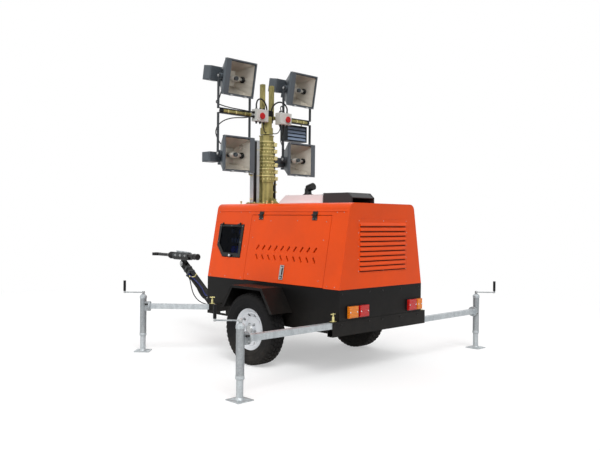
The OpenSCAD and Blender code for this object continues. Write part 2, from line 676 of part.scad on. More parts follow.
// Coupling head with overrun tube, handbrake lever and tow eye
module coupling_head() color("#2c2d2f") placed() translate([upper_pivot_x, 0, upper_pivot_z]) {
    rise = 57;
    difference() {
        union() {
            cross_rod(30, -24.7, 24.7);
            block([-26, -24.7, 0], [26, 24.7, rise + 4]);
        }
        cross_rod(pin_r + pin_gap, -50, 50);
    }
    translate([-285, 0, rise + 34]) rotate([0, 90, 0]) cylinder(r = 34, h = 560);
    translate([-150, -45, rise - 4]) cube([330, 90, 30]);
    translate([275, 0, rise + 34]) rotate([0, 90, 0]) cylinder(r1 = 42, r2 = 24, h = 60);
    translate([330, 0, rise + 34]) rotate([0, 90, 0]) cylinder(r = 20, h = head_l - 330 - eye_bore - 33);
    difference() {
        union() {
            translate([head_l - eye_bore / 2 - 22, 0, rise + 34 - 18]) cylinder(r = eye_bore / 2 + 22, h = 36);
        }
        translate([head_l - eye_bore / 2 - 22, 0, rise]) cylinder(r = eye_bore / 2, h = 80);
    }
}

// Mast

module octagon(across, height) rotate([0, 0, 22.5]) cylinder(r = across / 2 / cos(22.5), h = height, $fn = 8);

function across(stage) = mast_w - (stage - 1) * stage_step;
function drum(stage) = drum_w - (stage - 1) * drum_step;
function drum_bottom(stage) = collar_z + (stage - 2) * collar_pitch + seat_gap;
function foot(stage) = stage_foot + (stage - 1) * 12;

module on_mast() placed() translate([mast_x, 0, 0]) children();

// Head drum of a section with its bright collar plate at the top
module drum_head(stage, bottom, height) {
    translate([0, 0, bottom]) octagon(drum(stage), height - 8);
    translate([0, 0, bottom + height - 8]) octagon(drum(stage) + 14, 8);
}

module mast_base() color("#8d8a4e") on_mast() {
    difference() {
        union() {
            translate([0, 0, floor_z + floor_t + seat_gap]) octagon(mast_w, collar_z - floor_z - floor_t - seat_gap);
            drum_head(1, collar_z - drum_h, drum_h);
            translate([0, 0, roof_z - 20]) cylinder(r = 100, h = 30);
            translate([0, 0, roof_z + 8 + 2 * seat_gap]) cylinder(r = turn_r - 3, h = 10);
        }
        translate([0, 0, stage_foot - 5]) octagon(across(1) - 2 * mast_t, 3000);
    }
    translate([0, 0, floor_z]) cylinder(r = 30, h = 10);
    translate([-10, 104, roof_z + 18]) cube([50, 84, 2160 - roof_z - 18]);
    translate([15, 188, 1800]) d_handle();
}

module d_handle() {
    for (z = [0, 110]) translate([0, -1, z]) cross_rod(6, 0, 34);
    translate([0, 33, -6]) cylinder(r = 6, h = 122);
}

module stage(k) color("#a09d5a") on_mast() difference() {
    union() {
        translate([0, 0, foot(k)]) octagon(across(k), drum_bottom(k) - foot(k) + 2);
        if (k < stages) drum_head(k, drum_bottom(k), drum_h);
    }
    if (k < stages) translate([0, 0, foot(k) - 1]) octagon(across(k) - 2 * mast_t, 3000);
}

module stage_2() stage(2);
module stage_3() stage(3);
module stage_4() stage(4);
module stage_5() stage(5);
module stage_6() stage(6);
module stage_7() color("#a09d5a") on_mast() {
    translate([0, 0, foot(7)]) octagon(across(7), head_z - foot(7) + 60);
    drum_head(7, drum_bottom(7), 60);
}

// Crossbar with the cap that sits on the last section, and the fork above it
module lamp_bar() color("#98955a") on_mast() {
    difference() {
        translate([0, 0, head_z + seat_gap]) octagon(132, 70);
        translate([0, 0, head_z - 1]) octagon(across(7) + 2 * seat_gap, 61 + 1);
    }
    translate([0, 0, head_z + 60]) octagon(110, bar_z - head_z - 60);
    translate([0, 0, bar_z]) cross_rod(bar_r, -615, 615);
    for (side = [1, -1]) translate([0, side * 62, bar_z]) {
        block([-22, -20, -30], [22, 20, fork_top - bar_z]);
    }
    block([-40, -45, bar_z - 60], [50, 45, bar_z + 60]);
}

module junction_boxes() color("#e9e9e6") on_mast() for (side = [1, -1]) translate([-82, side * 165, bar_z - 12]) {
    block([-40, -80, -62], [40, 80, 62]);
    translate([-40, side * 15, -8]) rotate([0, -90, 0]) cylinder(r = 28, h = 14);
    block([39, -20, -14], [82 - bar_r - seat_gap, 20, 40]);
}

// One lamp's pivot place
function pivot_z(row) = bar_z + (row[2] > 0 ? yoke_up : -yoke_down);

module lamp_yokes() color("#5c6166") on_mast() for (row = LAMPS) translate([0, row[1] * lamp_y, 0]) {
    half = lamp_w / 2 + yoke_gap + yoke_t;
    reach = pivot_z(row) - bar_z;
    way = row[2];
    for (side = [1, -1]) {
        y = side > 0 ? half - yoke_t : -half;
        difference() {
            union() {
                block([-15, y, min(bar_z + way * bar_r, bar_z + reach)], [15, y + yoke_t, max(bar_z + way * bar_r, bar_z + reach)]);
                translate([0, y, bar_z + reach]) cross_rod(24, 0, yoke_t);
            }
            translate([0, y, bar_z + reach]) cross_rod(8 + pin_gap, -1, yoke_t + 1);
        }
    }
    translate([-15, -half, bar_z + (way > 0 ? bar_r + seat_gap : -bar_r - yoke_t - seat_gap)]) cube([30, 2 * half, yoke_t]);
}

// Frustum that tapers along +X, as a crossing of two wedges
module taper(depth, w0, w1, h0, h1) intersection() {
    linear_extrude(height = h0 * 2, center = true) polygon([[0, -w0 / 2], [0, w0 / 2], [depth, w1 / 2], [depth, -w1 / 2]]);
    rotate([90, 0, 0]) linear_extrude(height = w0 * 2, center = true)
        polygon([[0, -h0 / 2], [0, h0 / 2], [depth, h1 / 2], [depth, -h1 / 2]]);
}

lamp_front = -95;

module on_lamp(row) on_mast() translate([0, row[1] * lamp_y, pivot_z(row)]) rotate([0, -row[3], 0]) children();

module lamp(row) color("#6d7479") on_lamp(row) {
    difference() {
        union() {
            translate([lamp_front, -lamp_w / 2, -lamp_h / 2]) cube([bezel_d, lamp_w, lamp_h]);
            translate([lamp_front + bezel_d, 0, 0]) taper(lamp_d, lamp_w - 8, 180, lamp_h - 8, 190);
            for (side = [1, -1]) translate([0, side * (lamp_w / 2 - 30), 0]) cross_rod(30, side > 0 ? -20 : -28, side > 0 ? 28 : 20);
        }
        translate([lamp_front - 1, -lamp_w / 2 + 14, -lamp_h / 2 + 14]) cube([glass_t + 2, lamp_w - 28, lamp_h - 28]);
        translate([lamp_front + glass_t, 0, 0])
            taper(lamp_d + bezel_d - glass_t - 6, lamp_w - 34, 150, lamp_h - 34, 160);
    }
    for (side = [1, -1]) translate([0, side > 0 ? lamp_w / 2 - 2 : -lamp_w / 2 - yoke_gap - yoke_t - 6, 0])
        cross_rod(8, 0, yoke_gap + yoke_t + 8);
    translate([lamp_front + bezel_d + lamp_d, 0, 0]) {
        translate([-6, -60, -95]) cube([90, 120, 150]);
        translate([40, 0, -110]) cylinder(r = 12, h = 20);
    }
    translate([lamp_front + 55, 0, 0]) rotate([0, 90, 0]) cylinder(r = 22, h = lamp_d + bezel_d - 60);
}

module glass(row) color("#dfe8ec", 0.35) on_lamp(row)
    translate([lamp_front, -lamp_w / 2 + 14 + seat_gap, -lamp_h / 2 + 14 + seat_gap])
        cube([glass_t - seat_gap, lamp_w - 28 - 2 * seat_gap, lamp_h - 28 - 2 * seat_gap]);

module lamp_ul() lamp(LAMPS[0]);
module lamp_ur() lamp(LAMPS[1]);
module lamp_ll() lamp(LAMPS[2]);
module lamp_lr() lamp(LAMPS[3]);
module glass_ul() glass(LAMPS[0]);
module glass_ur() glass(LAMPS[1]);
module glass_ll() glass(LAMPS[2]);
module glass_lr() glass(LAMPS[3]);

chassis();
skirt();
axle();
fenders();
canopy();
rear_panel();
control_panel();
tail_lamps_red();
tail_lamps_amber();
roof_hood();
silencer_box();
exhaust_elbow();
engine_block();
roof_ring();
hinge_leaves();
beam_latches();
door_left();
door_right();
door_fittings_left();
door_fittings_right();
control_lid();
control_glass();
tyre_left();
tyre_right();
rim_left();
rim_right();
beam_rl();
beam_rr();
beam_fl();
beam_fr();
jack_rl();
jack_rr();
jack_fl();
jack_fr();
leg_rl();
leg_rr();
leg_fl();
leg_fr();
drawbar_arm();
coupling_head();
mast_base();
stage_2();
stage_3();
stage_4();
stage_5();
stage_6();
stage_7();
lamp_bar();
lamp_yokes();
junction_boxes();
lamp_ul();
lamp_ur();
lamp_ll();
lamp_lr();
glass_ul();
glass_ur();
glass_ll();
glass_lr();
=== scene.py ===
"""Looks of the towable light tower: finishes for the carried-over nodes, and the trim that rides on them."""

import logging
import math
from collections.abc import Callable, Sequence
from dataclasses import dataclass, field
from enum import Enum

import bmesh
import bpy
from mathutils import Matrix, Vector


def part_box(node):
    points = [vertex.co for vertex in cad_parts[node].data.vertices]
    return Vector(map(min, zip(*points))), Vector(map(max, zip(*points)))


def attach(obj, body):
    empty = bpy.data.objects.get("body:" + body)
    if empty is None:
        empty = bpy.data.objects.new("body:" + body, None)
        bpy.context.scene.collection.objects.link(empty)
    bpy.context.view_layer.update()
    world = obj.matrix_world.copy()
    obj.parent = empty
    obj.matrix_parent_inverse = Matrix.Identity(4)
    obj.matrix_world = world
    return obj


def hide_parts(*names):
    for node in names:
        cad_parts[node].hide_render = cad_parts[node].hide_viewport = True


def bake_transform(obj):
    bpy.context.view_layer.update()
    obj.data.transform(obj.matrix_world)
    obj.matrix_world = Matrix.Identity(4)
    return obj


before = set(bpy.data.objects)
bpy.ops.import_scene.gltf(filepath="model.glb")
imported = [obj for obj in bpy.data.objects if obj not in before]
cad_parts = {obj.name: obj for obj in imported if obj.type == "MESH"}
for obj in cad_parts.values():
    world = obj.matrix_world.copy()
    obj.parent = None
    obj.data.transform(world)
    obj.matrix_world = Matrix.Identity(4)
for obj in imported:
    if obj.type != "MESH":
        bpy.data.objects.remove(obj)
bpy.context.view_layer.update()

log = logging.getLogger("light_tower")
Point = Sequence[float]
MM = 0.001


class Side(Enum):
    """Left and right of the machine, seen towards the tow eye."""

    LEFT = 1
    RIGHT = -1


class Row(Enum):
    """Upper and lower lamps."""

    UPPER = 1
    LOWER = -1


class Smoothing(Enum):
    """Angle in degrees above which an edge stays sharp."""

    FACETED = 0.0
    PRESSED = 32.0
    ROUND = 60.0


@dataclass(frozen=True)
class Datum:
    """Turns millimetres, counted ahead of the canopy's rear face, into row-frame places.

    Args:
        rear: Row-frame X of the canopy's rear face, in metres.
        half_width: Half the canopy's width along its bottom edge.
        canopy_low: Height of the canopy's bottom edge.
        lean: Inward lean of the canopy's sides, in degrees.
    """

    rear: float
    half_width: float = 573.0
    canopy_low: float = 748.0
    lean: float = 10.012

    def at(self, x: float, y: float, z: float) -> Matrix:
        """Local frame in millimetres with its origin at a place.

        Args:
            x: Distance ahead of the rear face.
            y: Distance to the left of the middle plane.
            z: Height above the ground.

        Returns:
            Matrix from local millimetres to row-frame metres.
        """
        return Matrix.Translation((self.rear + x * MM, y * MM, z * MM)) @ Matrix.Scale(MM, 4)

    def spot(self, x: float, y: float, z: float) -> Vector:
        """Row-frame point of a place in millimetres.

        Args:
            x: Distance ahead of the rear face.
            y: Distance to the left of the middle plane.
            z: Height above the ground.

        Returns:
            The point in metres.
        """
        return Vector((self.rear + x * MM, y * MM, z * MM))

    def skin(self, side: Side) -> Matrix:
        """Local frame on a sloping side: X forward, Y outward from the skin, Z up the slope.

        Args:
            side: Which side of the canopy.

        Returns:
            Matrix from local millimetres to row-frame metres.
        """
        frame_left = self.at(0, self.half_width, self.canopy_low) @ Matrix.Rotation(math.radians(self.lean), 4, "X")
        return frame_left if side is Side.LEFT else Matrix.Scale(-1, 4, (0, 1, 0)) @ frame_left


# Shared node groups


class Tree:
    """Short hand for building one node tree."""

    def __init__(self, tree: bpy.types.NodeTree) -> None:
        """Keep the tree.

        Args:
            tree: A material's or a group's node tree.
        """
        self.tree = tree

    def add(self, kind: str, inputs: dict[str | int, object] | None = None, **settings: object) -> bpy.types.Node:
        """Add a node, set its attributes, and set or link its inputs.

        Args:
            kind: Node type without the ShaderNode prefix.
            inputs: Value or output socket for each named or numbered input.
            settings: Attributes of the node.

        Returns:
            The new node.
        """
        node = self.tree.nodes.new(kind if kind.startswith("Node") else "ShaderNode" + kind)
        for name, value in settings.items():
            setattr(node, name, value)
        for name, value in (inputs or {}).items():
            if isinstance(value, bpy.types.NodeSocket):
                self.tree.links.new(value, node.inputs[name])
            else:
                node.inputs[name].default_value = value
        return node

    def math(self, operation: str, a: object, b: object = 0.5, clamp: bool = False) -> bpy.types.NodeSocket:
        """Add a math node.

        Args:
            operation: Blender's name of the operation.
            a: First value or socket.
            b: Second value or socket.
            clamp: Whether the result stays between 0 and 1.

        Returns:
            The result's socket.
        """
        return self.add("Math", {0: a, 1: b}, operation=operation, use_clamp=clamp).outputs[0]

    def mix(self, factor: object, a: object, b: object) -> bpy.types.NodeSocket:
        """Mix two colours.

        Args:
            factor: Share of the second colour.
            a: First colour or socket.
            b: Second colour or socket.

        Returns:
            The mixed colour's socket.
        """
        node = self.add("Mix", data_type="RGBA")
        for slot, value in ((0, factor), (6, a), (7, b)):
            if isinstance(value, bpy.types.NodeSocket):
                self.tree.links.new(value, node.inputs[slot])
            else:
                node.inputs[slot].default_value = value
        return node.outputs[2]

    def spread(self, value: object, low: float, high: float, start: float = 0.0, end: float = 1.0) -> bpy.types.NodeSocket:
        """Map a value from one range to another.

        Args:
            value: Value or socket.
            low: Result at the start.
            high: Result at the end.
            start: Value that gives the low result.
            end: Value that gives the high result.

        Returns:
            The result's socket.
        """
        return self.add("MapRange", {0: value, 1: start, 2: end, 3: low, 4: high}).outputs[0]


def new_group(name: str, inputs: dict[str, float], outputs: dict[str, str]) -> tuple[Tree, bpy.types.Node, bpy.types.Node]:
    """Start a shared shader group.

    Args:
        name: The group's name.
        inputs: Default of each named float input.
        outputs: Socket type of each named output.

    Returns:
        The tree, its input node and its output node.
    """
    group = bpy.data.node_groups.new(name, "ShaderNodeTree")
    for label, default in inputs.items():
        group.interface.new_socket(name=label, in_out="INPUT", socket_type="NodeSocketFloat").default_value = default
    for label, kind in outputs.items():
        group.interface.new_socket(name=label, in_out="OUTPUT", socket_type=kind)
    tree = Tree(group)
    return tree, tree.add("NodeGroupInput"), tree.add("NodeGroupOutput")


class Effects:
    """The shader groups that the finishes share, each built once."""

    def __init__(self) -> None:
        """Build every group."""
        self.grain = self.build_grain()
        self.dust = self.build_dust()
        self.edge = self.build_edge()
        self.spangle = self.build_spangle()

    @staticmethod
    def build_grain() -> bpy.types.NodeTree:
        """Fine paint or rubber grain over broad clouding."""
        tree, given, out = new_group("surface_grain", {"Scale": 900.0, "Clouding": 3.0},
                                     {"Fine": "NodeSocketFloat", "Broad": "NodeSocketFloat"})
        place = tree.add("TexCoord").outputs["Object"]
        fine = tree.add("TexNoise", {"Vector": place, "Scale": given.outputs["Scale"], "Detail": 2.0})
        broad = tree.add("TexNoise", {"Vector": place, "Scale": given.outputs["Clouding"], "Detail": 5.0, "Roughness": 0.6})
        tree.tree.links.new(fine.outputs[0], out.inputs["Fine"])
        tree.tree.links.new(broad.outputs[0], out.inputs["Broad"])
        return tree.tree

    @staticmethod
    def build_dust() -> bpy.types.NodeTree:
        """Road dust that thins out with height and gathers on upward faces."""
        tree, given, out = new_group("road_dust", {"Top": 0.7, "Amount": 0.5}, {"Mask": "NodeSocketFloat"})
        place = tree.add("TexCoord").outputs["Object"]
        height = tree.add("SeparateXYZ", {0: place}).outputs[2]
        fade = tree.add("MapRange", {0: height, 1: 0.0, 2: given.outputs["Top"], 3: 1.0, 4: 0.0}).outputs[0]
        cloud = tree.add("TexNoise", {"Vector": place, "Scale": 14.0, "Detail": 6.0, "Roughness": 0.7}).outputs[0]
        up = tree.add("SeparateXYZ", {0: tree.add("NewGeometry").outputs["Normal"]}).outputs[2]
        lying = tree.math("MULTIPLY", tree.math("MAXIMUM", up, 0.0), 0.3)
        base = tree.math("ADD", fade, lying)
        patchy = tree.math("MULTIPLY", base, tree.spread(cloud, 0.2, 1.0, 0.35, 0.7))
        tree.tree.links.new(tree.math("MULTIPLY", patchy, given.outputs["Amount"], True), out.inputs["Mask"])
        return tree.tree

    @staticmethod
    def build_edge() -> bpy.types.NodeTree:
        """Softly rounded edges, and a broken mask of wear along them."""
        tree, given, out = new_group("edge_wear", {"Radius": 0.003, "Amount": 0.5},
                                     {"Mask": "NodeSocketFloat", "Normal": "NodeSocketVector"})
        bevel = tree.add("Bevel", {"Radius": given.outputs["Radius"]}, samples=4)
        flat = tree.add("NewGeometry").outputs["True Normal"]
        turn = tree.add("VectorMath", {0: bevel.outputs[0], 1: flat}, operation="DOT_PRODUCT").outputs["Value"]
        edge = tree.spread(turn, 1.0, 0.0, 0.75, 0.97)
        place = tree.add("TexCoord").outputs["Object"]
        chips = tree.add("TexNoise", {"Vector": place, "Scale": 60.0, "Detail": 6.0, "Roughness": 0.75}).outputs[0]
        broken = tree.math("MULTIPLY", edge, tree.spread(chips, 0.0, 1.0, 0.5, 0.62))
        tree.tree.links.new(tree.math("MULTIPLY", broken, given.outputs["Amount"], True), out.inputs["Mask"])
        tree.tree.links.new(bevel.outputs[0], out.inputs["Normal"])
        return tree.tree

    @staticmethod
    def build_spangle() -> bpy.types.NodeTree:
        """Flakes of a hot-dip zinc coat."""
        tree, given, out = new_group("zinc_spangle", {"Scale": 90.0}, {"Value": "NodeSocketFloat", "Streak": "NodeSocketFloat"})
        place = tree.add("TexCoord").outputs["Object"]
        cells = tree.add("TexVoronoi", {"Vector": place, "Scale": given.outputs["Scale"], "Randomness": 1.0})
        value = tree.add("SeparateColor", {0: cells.outputs["Color"]}).outputs[0]
        long = tree.add("Mapping", {"Vector": place, "Scale": (6.0, 6.0, 1.2)}).outputs[0]
        streak = tree.add("TexNoise", {"Vector": long, "Scale": 4.0, "Detail": 7.0, "Roughness": 0.65}).outputs[0]
        tree.tree.links.new(value, out.inputs["Value"])
        tree.tree.links.new(streak, out.inputs["Streak"])
        return tree.tree


EFFECTS = Effects()


def colour(red: float, green: float, blue: float) -> tuple[float, float, float, float]:
    """A linear colour from 8-bit display values.

    Args:
        red: Red, 0 to 255.
        green: Green, 0 to 255.
        blue: Blue, 0 to 255.

    Returns:
        Linear red, green, blue and an alpha of 1.
    """

    def linear(value: float) -> float:
        """One channel, from display to linear."""
        share = value / 255
        return share / 12.92 if share <= 0.04045 else ((share + 0.055) / 1.055) ** 2.4

    return linear(red), linear(green), linear(blue), 1.0


def shade(base: tuple[float, ...], factor: float) -> tuple[float, float, float, float]:
    """A colour made lighter or darker.

    Args:
        base: Linear colour.
        factor: What each channel is multiplied by.

    Returns:
        The new colour.
    """
    return tuple(min(1.0, c * factor) for c in base[:3]) + (1.0,)


DUST = colour(150, 140, 125)
BARE = colour(120, 118, 115)


@dataclass(frozen=True)
class Finish:
    """A procedural finish. Each kind adds its own pattern.

    Args:
        name: The material's name.
        slot: Name of its material slot; not used.
        base: Main colour.
    """

    name: str
    slot: str
    base: tuple[float, float, float, float]
    rough: float = 0.45
    metal: float = 0.0
    coat: float = 0.0
    gloss: float = 0.25
    grain: float = 900.0
    depth: float = 0.02
    wear: float = 0.3
    dust: float = 0.25
    dust_top: float = 0.8
    edge_mm: float = 2.0

    def material(self) -> bpy.types.Material:
        """The material, built on first use.

        Returns:
            The Blender material.
        """
        label = f"{self.name}_finish"
        found = bpy.data.materials.get(label)
        if found is None:
            found = bpy.data.materials.new(label)
            found.use_nodes = True
            found.node_tree.nodes.clear()
            tree = Tree(found.node_tree)
            shader = self.shader(tree)
            tree.add("OutputMaterial", {"Surface": shader})
        return found

    def grained(self, tree: Tree) -> bpy.types.Node:
        """The grain group at this finish's scale."""
        return self._set(tree, EFFECTS.grain, Scale=self.grain)

    @staticmethod
    def _set(tree: Tree, group: bpy.types.NodeTree, **values: float) -> bpy.types.Node:
        """Place a shared group with its own values."""
        node = tree.add("Group", node_tree=group)
        for name, value in values.items():
            node.inputs[name].default_value = value
        return node

    def pattern(self, tree: Tree, grain: bpy.types.Node) -> tuple[bpy.types.NodeSocket, bpy.types.NodeSocket]:
        """Colour and height of the finish before wear and dust."""
        cloud = tree.mix(tree.spread(grain.outputs["Broad"], 0.0, 1.0, 0.3, 0.7), shade(self.base, 0.93), shade(self.base, 1.05))
        return cloud, grain.outputs["Fine"]

    def shader(self, tree: Tree) -> bpy.types.NodeSocket:
        """Build the surface: pattern, chipped edges, dust, grain and soft edges."""
        grain = self.grained(tree)
        tint, height = self.pattern(tree, grain)
        edge = self._set(tree, EFFECTS.edge, Radius=self.edge_mm * MM, Amount=self.wear)
        dust = self._set(tree, EFFECTS.dust, Top=self.dust_top, Amount=self.dust)
        worn = tree.mix(edge.outputs["Mask"], tint, BARE)
        dusty = tree.mix(dust.outputs["Mask"], worn, DUST)
        rough = tree.spread(grain.outputs["Broad"], self.rough - 0.05, self.rough + 0.08, 0.3, 0.7)
        rougher = tree.math("ADD", rough, tree.math("MULTIPLY", dust.outputs["Mask"], 0.35), True)
        bump = tree.add("Bump", {"Strength": 0.35, "Distance": self.depth * MM * 10, "Height": height,
                                 "Normal": edge.outputs["Normal"]})
        return tree.add("BsdfPrincipled", {"Base Color": dusty, "Roughness": rougher, "Metallic": self.metal,
                                           "Coat Weight": self.coat, "Coat Roughness": 0.15, "Specular IOR Level": self.gloss,
                                           "Normal": bump.outputs[0]}).outputs[0]


@dataclass(frozen=True)
class ZincFinish(Finish):
    """Galvanised or passivated steel with flakes and streaks.

    Args:
        second: Colour that the streaks turn to.
        flake: Flakes per metre.
    """

    second: tuple[float, float, float, float] = colour(190, 195, 198)
    flake: float = 90.0
    contrast: float = 0.12

    def pattern(self, tree: Tree, grain: bpy.types.Node) -> tuple[bpy.types.NodeSocket, bpy.types.NodeSocket]:
        """Flaked colour with long streaks."""
        spangle = self._set(tree, EFFECTS.spangle, Scale=self.flake)
        flakes = tree.mix(spangle.outputs["Value"], shade(self.base, 1 - self.contrast), shade(self.base, 1 + self.contrast))
        streaked = tree.mix(tree.spread(spangle.outputs["Streak"], 0.0, 0.8, 0.42, 0.68), flakes, self.second)
        return streaked, grain.outputs["Fine"]


@dataclass(frozen=True)
class GripFinish(ZincFinish):
    """Galvanised jack whose crank grip is black rubber above a height.

    Args:
        grip_from: Height above the ground where the rubber starts, in metres.
    """

    grip_from: float = 0.603

    def pattern(self, tree: Tree, grain: bpy.types.Node) -> tuple[bpy.types.NodeSocket, bpy.types.NodeSocket]:
        """Zinc below, ribbed rubber above, with painted shade in the rib grooves and a painted highlight on the crests.
        """
        zinc, fine = super().pattern(tree, grain)
        height = tree.add("SeparateXYZ", {0: tree.add("TexCoord").outputs["Object"]}).outputs[2]
        mask = tree.math("GREATER_THAN", height, self.grip_from)
        ribs = tree.math("SINE", tree.math("MULTIPLY", height, 900.0))
        # Painted shade and highlight: the rubber is painted darker in each rib groove and lighter on each crest.
        black = tree.mix(tree.spread(ribs, 0.0, 1.0, -1.0, 1.0), colour(14, 14, 15), colour(30, 30, 32))
        raised = tree.add("Mix", {0: mask, 2: fine, 3: ribs}).outputs[0]
        return tree.mix(mask, zinc, black), raised


@dataclass(frozen=True)
class RubberFinish(Finish):
    """Tyre or cable rubber with a dry, patchy bloom."""

    def pattern(self, tree: Tree, grain: bpy.types.Node) -> tuple[bpy.types.NodeSocket, bpy.types.NodeSocket]:
        """Black with a grey bloom."""
        bloom = tree.spread(grain.outputs["Broad"], 0.0, 0.5, 0.45, 0.75)
        return tree.mix(bloom, self.base, shade(self.base, 1.9)), grain.outputs["Fine"]


@dataclass(frozen=True)
class LensFinish(Finish):
    """Moulded lens with fine prisms.

    Args:
        pitch: Prisms per metre across the lens.
    """

    pitch: float = 140.0

    def pattern(self, tree: Tree, grain: bpy.types.Node) -> tuple[bpy.types.NodeSocket, bpy.types.NodeSocket]:
        """Prisms, with painted highlights and painted shade that lighten and darken the colour along them."""
        place = tree.add("SeparateXYZ", {0: tree.add("TexCoord").outputs["Object"]})
        across = tree.math("SINE", tree.math("MULTIPLY", place.outputs[1], self.pitch * 6.283))
        upward = tree.math("SINE", tree.math("MULTIPLY", place.outputs[2], self.pitch * 3.1))
        prism = tree.math("ADD", tree.math("MULTIPLY", across, 0.5), tree.math("MULTIPLY", upward, 0.5))
        # Painted highlight and shade: the colour is lighter on each prism's crest and darker in its trough.
        return tree.mix(tree.spread(prism, 0.0, 1.0, -1.0, 1.0), shade(self.base, 0.7), shade(self.base, 1.25)), prism


@dataclass(frozen=True)
class GlassFinish(Finish):
    """Clear or smoked pane that lets the lamps' light through.

    Args:
        clear: Share of what is behind that shows.
    """

    clear: float = 0.86

    def shader(self, tree: Tree) -> bpy.types.NodeSocket:
        """A transparent sheet under a faint, slightly smeared gloss."""
        grain = self.grained(tree)
        smear = tree.spread(grain.outputs["Broad"], self.rough, self.rough + 0.06, 0.4, 0.7)
        gloss = tree.add("BsdfPrincipled", {"Base Color": shade(self.base, 0.04), "Roughness": smear,
                                            "Specular IOR Level": 0.5}).outputs[0]
        through = tree.add("BsdfTransparent", {"Color": shade(self.base, 1.0)}).outputs[0]
        facing = tree.add("LayerWeight", {"Blend": 0.25}).outputs["Facing"]
        share = tree.spread(facing, 1.0 - self.clear, min(1.0, 1.2 - self.clear), 0.0, 1.0)
        return tree.add("MixShader", {0: share, 1: through, 2: gloss}).outputs[0]


@dataclass(frozen=True)
class ReflectorFinish(Finish):
    """Bright rolled aluminium with a hammered face."""

    def pattern(self, tree: Tree, grain: bpy.types.Node) -> tuple[bpy.types.NodeSocket, bpy.types.NodeSocket]:
        """Small dimples in bright metal."""
        place = tree.add("TexCoord").outputs["Object"]
        dimple = tree.add("TexVoronoi", {"Vector": place, "Scale": 130.0}, feature="SMOOTH_F1").outputs["Distance"]
        return tree.mix(tree.spread(grain.outputs["Broad"], 0.0, 1.0, 0.35, 0.7), shade(self.base, 0.85), self.base), dimple


@dataclass(frozen=True)
class ScreenFinish(Finish):
    """Small display with lit, wordless bars."""

    def shader(self, tree: Tree) -> bpy.types.NodeSocket:
        """A dark glossy face with faintly glowing bars."""
        place = tree.add("SeparateXYZ", {0: tree.add("TexCoord").outputs["Object"]})
        bars = tree.math("GREATER_THAN", tree.math("SINE", tree.math("MULTIPLY", place.outputs[2], 420.0)), 0.1)
        cells = tree.math("GREATER_THAN", tree.math("SINE", tree.math("MULTIPLY", place.outputs[0], 150.0)), -0.6)
        lit = tree.math("MULTIPLY", bars, cells)
        glow = tree.mix(lit, shade(self.base, 0.25), self.base)
        return tree.add("BsdfPrincipled", {"Base Color": glow, "Roughness": 0.25, "Emission Color": glow,
                                           "Emission Strength": 0.55}).outputs[0]


